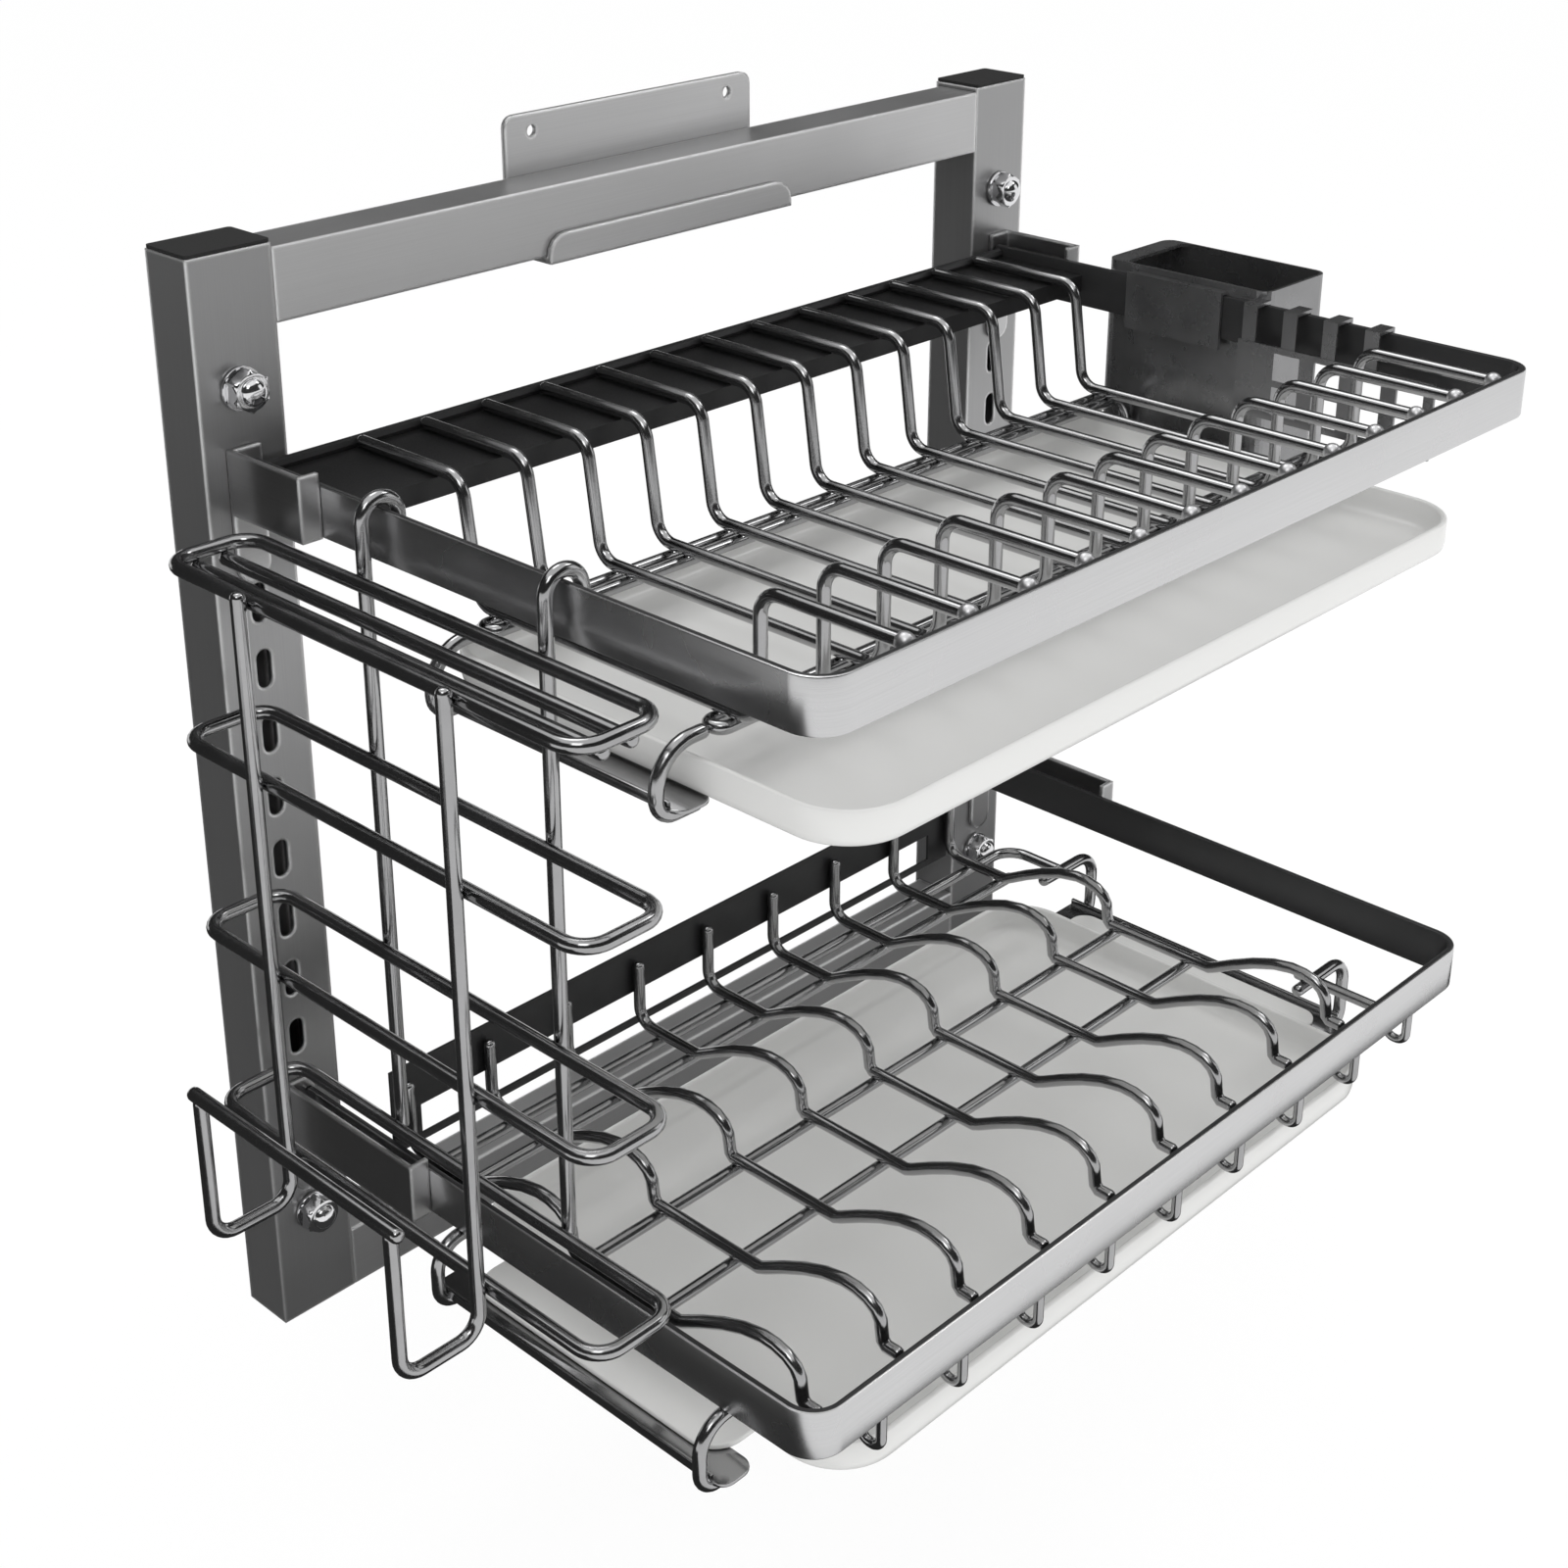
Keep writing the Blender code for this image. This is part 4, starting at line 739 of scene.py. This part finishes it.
class RACK_OT_stage(DishRackPiece, Operator):
    """Make the floor, the lamps, the sky and the camera"""

    bl_idname = "dish_rack.stage"
    bl_label = "Stage"

    def execute(self, context):
        scene = context.scene
        settings = scene.dish_rack_stage
        scene.view_settings.view_transform = "Standard"
        self.make_camera(scene)
        self.make_sky(scene, settings.sky)
        self.make_floor(scene, FOOT - settings.floor_drop)
        self.make_card(scene, "ceiling_card", self.ceiling(), settings.card_tone)
        upright = [(SIDE_CARD_X, y, z) for y, z in rectangle(*SIDE_CARD)]
        self.make_card(scene, "side_card", [upright], settings.card_tone)
        level = FOOT - settings.floor_drop + CARD_LIFT
        lying = [(x, y, level) for x, y in rectangle(*FLOOR_CARD)]
        self.make_card(scene, "floor_card", [lying], settings.card_tone)
        for name, (place, size) in LAMPS.items():
            self.make_lamp(scene, name + "_lamp", place, size, getattr(settings, name + "_power"))
        return {"FINISHED"}

    def make_camera(self, scene):
        """A camera where the photograph was taken from."""
        data = bpy.data.cameras.new("photo_camera")
        data.lens = CAMERA_LENS
        data.sensor_width = 36.0
        data.shift_y = CAMERA_SHIFT
        camera = bpy.data.objects.new("photo_camera", data)
        camera.location = CAMERA_PLACE
        camera.rotation_euler = [math.radians(a) for a in CAMERA_TURN]
        scene.collection.objects.link(camera)
        scene.camera = camera

    def make_sky(self, scene, strength):
        """White behind the object and in its reflections, and a softer light on it."""
        world = bpy.data.worlds.new("studio")
        world.use_nodes = True
        scene.world = world
        tree = world.node_tree
        tree.nodes.clear()
        clear = is_ray(tree, ("Is Camera Ray", "Is Glossy Ray", "Is Transmission Ray"))
        soft = node(tree, "ShaderNodeBackground", (-200, -100), Color=(1, 1, 1, 1), Strength=strength)
        white = node(tree, "ShaderNodeBackground", (-200, -250), Color=(1, 1, 1, 1), Strength=1.0)
        mix = node(tree, "ShaderNodeMixShader", (0, 0))
        out = node(tree, "ShaderNodeOutputWorld", (200, 0))
        tree.links.new(clear, mix.inputs[0])
        tree.links.new(soft.outputs[0], mix.inputs[1])
        tree.links.new(white.outputs[0], mix.inputs[2])
        tree.links.new(mix.outputs[0], out.inputs[0])

    def make_floor(self, scene, level):
        """A pale floor that keeps part of the object's shadow."""
        plan = rectangle(-FLOOR_REACH, FLOOR_REACH, -FLOOR_REACH, FLOOR_REACH)
        shape = bmesh.new()
        shape.faces.new([shape.verts.new((x, y, level)) for x, y in plan])
        floor = bpy.data.objects.new("floor", mesh_of("floor", shape))
        scene.collection.objects.link(floor)
        made, tree, shader = new_finish("pale_floor")
        shader.inputs["Base Color"].default_value = (FLOOR_TONE, FLOOR_TONE, FLOOR_TONE, 1)
        shader.inputs["Roughness"].default_value = 0.9
        shader.inputs["Specular IOR Level"].default_value = 0.0
        seen = is_ray(tree, ("Is Camera Ray", "Is Glossy Ray"))
        share = node(tree, "ShaderNodeMath", (-200, 0), operation="MULTIPLY")
        share.inputs[1].default_value = FLOOR_GLOW
        glow = node(tree, "ShaderNodeEmission", (-200, -200), Color=(1, 1, 1, 1), Strength=1.0)
        mix = node(tree, "ShaderNodeMixShader", (200, 0))
        tree.links.new(seen, share.inputs[0])
        tree.links.new(share.outputs[0], mix.inputs[0])
        tree.links.new(shader.outputs[0], mix.inputs[1])
        tree.links.new(glow.outputs[0], mix.inputs[2])
        tree.links.new(mix.outputs[0], tree.nodes["Material Output"].inputs[0])
        floor.data.materials.append(made)

    def ceiling(self):
        """Bands of a dome round the rack, from a little above the horizon to the white opening on top."""
        low, high = DOME_CARD_ANGLES
        steps, turns = 4, 24
        faces = []
        for i in range(steps):
            heights = [math.radians(low + (high - low) * k / steps) for k in (i, i + 1)]
            for j in range(turns):
                ways = [math.tau * k / turns for k in (j, j + 1)]
                face = []
                for way, height in rectangle(*ways, *heights):
                    flat = DOME_CARD_RADIUS * math.cos(height)
                    up = DOME_CARD_RADIUS * math.sin(height)
                    face.append((flat * math.cos(way), flat * math.sin(way), up))
                faces.append(face)
        return faces

    def make_card(self, scene, name, faces, tone):
        """A grey card that only reflections show, as round a real studio table."""
        shape = bmesh.new()
        for corners in faces:
            shape.faces.new([shape.verts.new(p) for p in corners])
        card = bpy.data.objects.new(name, mesh_of(name, shape))
        scene.collection.objects.link(card)
        card.visible_camera = False
        card.visible_diffuse = False
        card.visible_transmission = False
        card.visible_shadow = False
        made, tree, shader = new_finish(name)
        tree.nodes.remove(shader)
        glow = node(tree, "ShaderNodeEmission", (0, 0), Color=(1, 1, 1, 1), Strength=tone)
        tree.links.new(glow.outputs[0], tree.nodes["Material Output"].inputs[0])
        card.data.materials.append(made)

    def make_lamp(self, scene, name, place, size, power):
        """A square lamp that looks at the rack."""
        data = bpy.data.lights.new(name, "AREA")
        data.size = size
        data.energy = power
        lamp = bpy.data.objects.new(name, data)
        lamp.location = place
        aim = Vector(LAMP_AIM) - Vector(place)
        lamp.rotation_euler = aim.to_track_quat("-Z", "Y").to_euler()
        scene.collection.objects.link(lamp)


class RACK_OT_wall_frame(DishRackPiece, Operator):
    """Finish the posts, their caps, the crossbars and the wall plate"""

    bl_idname = "dish_rack.wall_frame"
    bl_label = "Wall frame"

    def execute(self, context):
        for side in ("left", "right"):
            dress(side + "_post", "post_steel", TUBE_EDGE)
            dress(side + "_post_cap", "black_plastic")
        dress("upper_crossbar", "crossbar_steel", TUBE_EDGE)
        dress("lower_crossbar", "crossbar_steel", TUBE_EDGE)
        dress("wall_plate", "crossbar_steel")
        return {"FINISHED"}


class RACK_OT_anchor_bolts(DishRackPiece, Operator):
    """Make the four studs with their washers and nuts"""

    bl_idname = "dish_rack.anchor_bolts"
    bl_label = "Anchor bolts"

    def execute(self, context):
        for level, height in BOLT_HEIGHTS.items():
            for word, x in (("left", -BOLT_X), ("right", BOLT_X)):
                name = "anchor_bolt_%s_%s" % (level, word)
                stand_in(name, self.bolt_mesh(x, height + FOOT), "zinc", "frame")
        return {"FINISHED"}

    def bolt_mesh(self, x, z):
        """A turned washer, a chamfered hexagon nut and a smooth domed end."""
        collar, face = DOME_SPAN
        end = [(STUD_RADIUS, -BOLT_FRONT), (STUD_RADIUS, collar), (DOME_RADIUS, collar), (DOME_RADIUS, face)]
        for i in range(1, 9):
            angle = math.radians(10 * i)
            end.append((DOME_RADIUS * math.cos(angle), face + DOME_HEIGHT * math.sin(angle)))
        shape = bmesh.new()
        parts = ((WASHER_PROFILE, BOLT_SIDES), (NUT_PROFILE, NUT_SIDES, self.hexagon), (end, BOLT_SIDES))
        for profile, *turning in parts:
            placed = [(radius, -BOLT_FRONT - ahead) for radius, ahead in profile]
            add_lathe(shape, placed, x, z, *turning)
        return mesh_of("anchor_bolt", shape)

    def hexagon(self, angle):
        """How far a nut's flat side is from its axis, in a direction."""
        return NUT_FLAT / math.cos((angle + math.pi / 6) % (math.pi / 3) - math.pi / 6)


class RACK_OT_tray_bars(DishRackPiece, Operator):
    """Make both trays' bars and finish their sheets and brackets"""

    bl_idname = "dish_rack.tray_bars"
    bl_label = "Tray bars and sheets"

    def execute(self, context):
        for word, level in (("upper", UPPER), ("lower", LOWER)):
            stand_in(word + "_rim", self.bar_mesh(level), "bar_steel", word + "_tray")
            for side in ("left", "right"):
                dress("%s_%s_bracket" % (word, side), "bracket_steel")
        dress("upper_rear_plate", "dark_sheet", 0.0)
        dress("lower_rear_sheet", "dark_sheet", SHEET_EDGE)
        self.front_hooks()
        return {"FINISHED"}

    def bar_mesh(self, level):
        """A flat bar on edge, bent to a U."""
        rear, outer, inner = -ARM_REAR, ARM_OUTER, ARM_INNER
        corners = [(-outer, rear), (-outer, -TRAY_DEPTH), (outer, -TRAY_DEPTH), (outer, rear)]
        corners += [(inner, rear), (inner, -BAR_INNER), (-inner, -BAR_INNER), (-inner, rear)]
        bend = BAR_CORNER - BAR_THICKNESS
        outline = rounded(corners, [0, BAR_CORNER, BAR_CORNER, 0, 0, bend, bend, 0], CORNER_STEPS)
        shape = bmesh.new()
        add_bar(shape, outline, level, level + BAR_HEIGHT, BAR_EDGE)
        mesh = mesh_of("tray_bar", shape)
        # The second finish is painted shade: faces past the outer skin, on the upper edges and inner sides,
        # take it
        for look in ("bar_steel", "bar_inside"):
            mesh.materials.append(finish(look))
        for face in mesh.polygons:
            face.material_index = 1 if self.depth_in_bar(face.center) > BAR_SHADE_DEPTH else 0
        return mesh

    def depth_in_bar(self, point):
        """How far a point is from the bar's outer face, round its corners too."""
        across, along = abs(point.x), -point.y
        centre = ARM_OUTER - BAR_CORNER, TRAY_DEPTH - BAR_CORNER
        if across > centre[0] and along > centre[1]:
            return BAR_CORNER - math.hypot(across - centre[0], along - centre[1])
        return min(ARM_OUTER - across, TRAY_DEPTH - along)

    def front_hooks(self):
        """Nine small hooks behind the lower tray's front."""
        diameter, curl = self.sizes.hook_wire, FRONT_HOOK_CURL
        back = -BAR_INNER + diameter / 2 - WELD_SINK
        foot = LOWER - FRONT_HOOK_DROP
        routes = []
        for i in range(FRONT_HOOK_COUNT):
            x = (i - (FRONT_HOOK_COUNT - 1) / 2) * FRONT_HOOK_PITCH
            points = [
                (x, back, LOWER + BAR_HEIGHT / 2), (x, back, foot),
                (x, back + curl * 2, foot), (x, back + curl * 2, foot + curl),
            ]
            routes.append(bent(points, curl - GAP, self.sizes.bend_steps))
        mesh = wire_mesh("front_hooks", routes, diameter, (1, 0, 0))
        piece("lower_front_hooks", mesh, "wire_steel", "lower_tray")


class RACK_OT_plate_dividers(DishRackPiece, Operator):
    """Make the thirteen plate dividers and the hairpin loops under them"""

    bl_idname = "dish_rack.plate_dividers"
    bl_label = "Plate dividers"

    def execute(self, context):
        wire, steps = self.sizes.wire, self.sizes.bend_steps
        rear_bend, foot_bend, front_bend = DIVIDER_BENDS
        points = [
            (0, -DIVIDER_REAR, DIVIDER_TOP), (0, -rear_bend, DIVIDER_TOP),
            (0, -foot_bend, DIVIDER_FLOOR), (0, -front_bend, DIVIDER_FLOOR),
            (0, -front_bend, DIVIDER_TOP), (0, -BAR_INNER + GAP, DIVIDER_TOP),
        ]
        shape = bmesh.new()
        add_wire(shape, bent(points, DIVIDER_RADIUS, steps), wire, (1, 0, 0), self.sizes.wire_sides)
        add_ball(shape, (0, -BAR_INNER + BEAD_RADIUS, DIVIDER_TOP), BEAD_RADIUS)
        mesh = mesh_of("plate_divider", shape)
        for look in ("wire_steel", "weld_bead"):
            mesh.materials.append(finish(look))
        for face in mesh.polygons:
            face.material_index = 1 if face.center.y < -BAR_INNER + 2 * BEAD_RADIUS else 0
        for i in range(DIVIDER_COUNT):
            place = (FIRST_DIVIDER + i * DIVIDER_PITCH, 0, UPPER)
            stand_in("plate_divider_%02d" % (i + 1), mesh, "wire_steel", "upper_tray", place)
        for name, depth in PAIR_DEPTHS.items():
            corners = rectangle(*PAIR_SPAN, -depth - PAIR_GAP, -depth)
            flat = rounded(corners, [PAIR_GAP / 2] * 4, steps)
            route = [(*p, UPPER + PAIR_LEVEL) for i, p in enumerate(flat) if math.dist(p, flat[i - 1]) > GAP]
            mesh = wire_mesh(name, [route], wire, (0, 0, 1), closed=True)
            stand_in(name, mesh, "wire_steel", "upper_tray")
        return {"FINISHED"}


class RACK_OT_runners(DishRackPiece, Operator):
    """Make the runners on their C-shaped hooks"""

    bl_idname = "dish_rack.runners"
    bl_label = "Runners"

    def execute(self, context):
        radius = RUNNER_WIRE / 2
        for side, word in ((-1, "left"), (1, "right")):
            bulge = UPPER_HOOKS["centre"] + side * (HOOK_REACH - radius)
            root = PAIR_SPAN[0 if side < 0 else 1] + side * (self.sizes.wire / 2 + GAP)
            self.runner("upper", word, side, bulge, root, PAIR_LEVEL, UPPER_HOOKS, UPPER)
            bulge = LOWER_HOOKS["centre"] + side * (HOOK_REACH - radius)
            top = -GAP - radius if side < 0 else GRID_LEVEL - self.sizes.wire / 2 - GAP - radius
            root = bulge - side * LOWER_HOOK_ROOTS[side]
            self.runner("lower", word, side, bulge, root, top, LOWER_HOOKS, LOWER)
        self.rod(LOWER + top + radius + self.sizes.wire / 2 - WELD_SINK)
        return {"FINISHED"}

    def rod(self, level):
        """A short wire from the lower tray's front bar to the right runner's front hook."""
        front, rear = -BAR_INNER + GAP, RUNNER_WIRE - LOWER_HOOKS["depths"][1]
        ends = [(GRID_RIGHT, front, level), (GRID_RIGHT, rear, level)]
        mesh = wire_mesh("lower_right_rod", [ends], self.sizes.wire, (0, 0, 1))
        piece("lower_right_rod", mesh, "wire_steel", "lower_tray")

    def runner(self, tray, word, side, bulge, root, top, hooks, level):
        """Two hooks, from their root out to their bulge, down and in again, and the strip on them."""
        name = "%s_%s_runner" % (tray, word)
        radius = RUNNER_WIRE / 2
        drop, depths = hooks["drop"], hooks["depths"]
        foot = -drop - radius
        leg = radius + RUNNER_WIDTH
        steps = self.sizes.bend_steps
        routes = []
        for depth in depths:
            points = [
                (root, -depth, level + top), (bulge, -depth, level + top),
                (bulge, -depth, level + foot), (bulge - side * leg, -depth, level + foot),
            ]
            crown = fillet(*points[:3], hooks["crown"], steps)
            bend = fillet(*points[1:], HOOK_BEND, steps)
            routes.append([points[0], *crown, *bend, points[-1]])
        mesh = wire_mesh(name + "_hooks", routes, RUNNER_WIRE, (0, 1, 0))
        piece(name + "_hooks", mesh, "wire_steel", tray + "_tray", [name])
        outer = bulge - side * (radius + GAP)
        self.strip(name, side, outer, level - drop, -depths[1] - RUNNER_END, -depths[0] + RUNNER_END, tray)

    def strip(self, name, side, outer, level, front, rear, tray):
        """An L-shaped strip with a rounded front end."""
        ahead, behind = RUNNER_CORNERS
        low, high = sorted((outer - side * RUNNER_WIDTH, outer))
        base = rounded(rectangle(low, high, front, rear), [ahead, ahead, behind, behind], steps=6)
        shape = bmesh.new()
        add_bar(shape, base, level, level + RUNNER_SHEET, RUNNER_EDGE)
        low, high = sorted((outer, outer - side * RUNNER_SHEET))
        lip = rectangle(low, high, front + ahead, rear)
        add_bar(shape, lip, level + RUNNER_SHEET / 2, level + RUNNER_LIP, RUNNER_EDGE)
        mesh = mesh_of(name + "_strip", shape)
        piece(name + "_strip", mesh, "wire_steel", tray + "_tray")


class RACK_OT_drip_trays(DishRackPiece, Operator):
    """Make the two plastic drip trays"""

    bl_idname = "dish_rack.drip_trays"
    bl_label = "Drip trays"

    def execute(self, context):
        upper = self.tray_mesh(UPPER_DRIP_PLAN, UPPER + UPPER_DRIP_FOOT)
        stand_in("upper_drip_tray", upper, "white_plastic", "upper_drip_tray")
        lower = self.tray_mesh(LOWER_DRIP_PLAN, LOWER + LOWER_DRIP_FOOT, FLANGE_PLAN)
        stand_in("lower_drip_tray", lower, "white_plastic", "lower_drip_tray")
        return {"FINISHED"}

    def tray_mesh(self, plan, foot, flanges=None):
        """Rings along the wall's section, and a flange on each side."""
        left, right, front, rear = plan
        rings = []
        for inwards, height in DRIP_SECTION:
            outline = rectangle(left + inwards, right - inwards, front + inwards, rear - inwards)
            ring = rounded(outline, [DRIP_CORNER - inwards] * 4, CORNER_STEPS)
            rings.append([(x, y, foot + height) for x, y in ring])
        shape = bmesh.new()
        add_loft(shape, rings)
        if flanges:
            self.add_flanges(shape, left + FLANGE_SINK, right - FLANGE_SINK, foot, flanges)
        return mesh_of("drip_tray", shape, angle=50)

    def add_flanges(self, shape, left, right, foot, plan):
        """A flange on each side of the tray, with its outer corners rounded."""
        far_left, far_right, front, rear = plan
        wide, narrow = FLANGE_CORNERS
        low, high = (foot + height for height in FLANGE_SPAN)
        for corners, radii in (
            (rectangle(far_left, left, front, rear), [wide, 0, 0, wide]),
            (rectangle(right, far_right, front, rear), [0, narrow, narrow, 0]),
        ):
            add_bar(shape, rounded(corners, radii), low, high, FLANGE_EDGE)


class RACK_OT_wave_wires(DishRackPiece, Operator):
    """Make the nine wave wires and the grid under them"""

    bl_idname = "dish_rack.wave_wires"
    bl_label = "Wave wires"

    def execute(self, context):
        wire, steps = self.sizes.wire, self.sizes.bend_steps
        mesh = wire_mesh("wave_wire", [self.wave_route()], wire, (1, 0, 0))
        for i in range(WAVE_COUNT):
            place = (FIRST_WAVE + i * WAVE_PITCH, 0, LOWER)
            stand_in("wave_wire_%d" % (i + 1), mesh, "wire_steel", "lower_tray", place)
        level = LOWER + GRID_LEVEL
        corner = (GRID_RIGHT, -GRID_REAR, level)
        edge = [(GRID_LEFT, -GRID_REAR, level), corner, (GRID_RIGHT, -GRID_FRONT, level)]
        routes = [bent(edge, GRID_BEND, steps)]
        routes += [[(GRID_LEFT, -depth, level), (GRID_CROSS_END, -depth, level)] for depth in GRID_CROSS]
        routes.append([(GRID_LEFT, -GRID_REAR, level), (GRID_LEFT, -GRID_CROSS[-1], level)])
        mesh = wire_mesh("lower_floor_grid", routes, wire, (0, 0, 1))
        stand_in("lower_floor_grid", mesh, "wire_steel", "lower_tray")
        return {"FINISHED"}

    def wave_route(self):
        """The raised rear end, two arches that lean forward, and the front end."""
        top = (0, -WAVE_REAR, WAVE_FLOOR + WAVE_REAR_RISE)
        corner = (0, -WAVE_REAR, WAVE_FLOOR)
        route = [top] + fillet(top, corner, (0, -ARCHES[0], WAVE_FLOOR), WAVE_BEND, self.sizes.bend_steps)
        for depth in ARCHES:
            for along, up in ARCH_SHARES:
                route.append((0, -depth - along * ARCH_LENGTH, WAVE_FLOOR + up * ARCH_HEIGHT))
        route.append((0, -WAVE_FRONT, WAVE_FLOOR))
        return route


class RACK_OT_board_rack(DishRackPiece, Operator):
    """Make the board rack's loops, hangers and cradle"""

    bl_idname = "dish_rack.board_rack"
    bl_label = "Board rack"

    def execute(self, context):
        wire, steps = self.sizes.rack_wire, self.sizes.bend_steps
        for i, height in enumerate(RACK_LOOPS):
            name = "board_loop_%d" % (i + 1)
            flat = rounded(rectangle(*RACK_X, *RACK_Y), [RACK_CORNER] * 4, steps)
            shape = bmesh.new()
            route = [(x, y, height + FOOT) for x, y in flat]
            add_wire(shape, route, wire, (0, 0, 1), self.sizes.wire_sides, closed=True)
            if i == 0:
                level = height + FOOT - wire + WELD_SINK
                for x in RACK_RAILS:
                    rail = [(x, RACK_Y[0], level), (x, RACK_Y[1], level)]
                    add_wire(shape, rail, wire, (0, 0, 1), self.sizes.wire_sides)
            stand_in(name, mesh_of(name, shape), "wire_steel", "board_rack")
        self.hangers(wire)
        self.cradle(wire, steps)
        return {"FINISHED"}

    def hangers(self, wire):
        """Two wires that hook over the arm, placed by their solids' tops."""
        for word, depth in HANGER_DEPTHS.items():
            name = "board_hanger_" + word
            low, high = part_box(name)
            crown = high.z - wire / 2
            inner = HANGER_X + 2 * HANGER_BEND
            tip = crown - HANGER_BEND - HANGER_TIP
            points = [
                (HANGER_X, -depth, low.z), (HANGER_X, -depth, crown),
                (inner, -depth, crown), (inner, -depth, tip),
            ]
            route = bent(points, HANGER_BEND - GAP / 4, steps=12)
            mesh = wire_mesh(name, [route], wire, (0, 1, 0))
            stand_in(name, mesh, "wire_steel", "board_rack")

    def cradle(self, wire, steps):
        """Two J-shaped wires, joined by a bar outside."""
        near, far = CRADLE_X
        crown = RACK_LOOPS[0] + wire + FOOT
        foot, top = CRADLE_FOOT + FOOT, CRADLE_TOP + FOOT
        shape = bmesh.new()
        sides = self.sizes.wire_sides
        for depth in CRADLE_DEPTHS:
            points = [(near, -depth, crown), (near, -depth, foot), (far, -depth, foot), (far, -depth, top)]
            add_wire(shape, bent(points, CRADLE_BEND, steps), wire, (0, 1, 0), sides)
        rail = [(far, -CRADLE_DEPTHS[1] - wire, top), (far, -CRADLE_DEPTHS[0] + wire, top)]
        add_wire(shape, rail, wire, (0, 0, 1), sides)
        mesh = mesh_of("board_cradle", shape)
        stand_in("board_cradle", mesh, "wire_steel", "board_rack")


class RACK_OT_hung_pieces(DishRackPiece, Operator):
    """Finish the utensil box and the perforated side screen"""

    bl_idname = "dish_rack.hung_pieces"
    bl_label = "Utensil box and side screen"

    def execute(self, context):
        dress("utensil_box", "box_coat", BOX_EDGE)
        dress("side_screen", "box_coat", SHEET_EDGE)
        return {"FINISHED"}


OPERATORS = (
    RACK_OT_stage, RACK_OT_wall_frame, RACK_OT_anchor_bolts, RACK_OT_tray_bars, RACK_OT_plate_dividers,
    RACK_OT_runners, RACK_OT_drip_trays, RACK_OT_wave_wires, RACK_OT_board_rack, RACK_OT_hung_pieces,
)
SETTINGS = {
    "dish_rack_sizes": DishRackSizes,
    "dish_rack_finishes": DishRackFinishes,
    "dish_rack_stage": DishRackStage,
}


class RACK_PT_panel(Panel):
    """The rack's pieces and settings"""

    bl_idname = "RACK_PT_panel"
    bl_label = "Dish rack"
    bl_space_type = "VIEW_3D"
    bl_region_type = "UI"
    bl_category = "Dish rack"

    def draw(self, context):
        for operator in OPERATORS:
            self.layout.operator(operator.bl_idname)
        for name in SETTINGS:
            box = self.layout.box()
            group = getattr(context.scene, name)
            for key in group.bl_rna.properties.keys():
                if key not in ("rna_type", "name"):
                    box.prop(group, key)


def register():
    """Register the classes and give the scene its settings."""
    for group in SETTINGS.values():
        bpy.utils.register_class(group)
    for name, group in SETTINGS.items():
        setattr(bpy.types.Scene, name, PointerProperty(type=group))
    for operator in OPERATORS:
        bpy.utils.register_class(operator)
    bpy.utils.register_class(RACK_PT_panel)


def unregister():
    """Take the settings and the classes away again."""
    bpy.utils.unregister_class(RACK_PT_panel)
    for operator in reversed(OPERATORS):
        bpy.utils.unregister_class(operator)
    for name, group in SETTINGS.items():
        delattr(bpy.types.Scene, name)
        bpy.utils.unregister_class(group)


def main():
    """Build everything in order."""
    register()
    for operator in OPERATORS:
        group, call = operator.bl_idname.split(".")
        getattr(getattr(bpy.ops, group), call)()


if __name__ == "__main__":
    main()
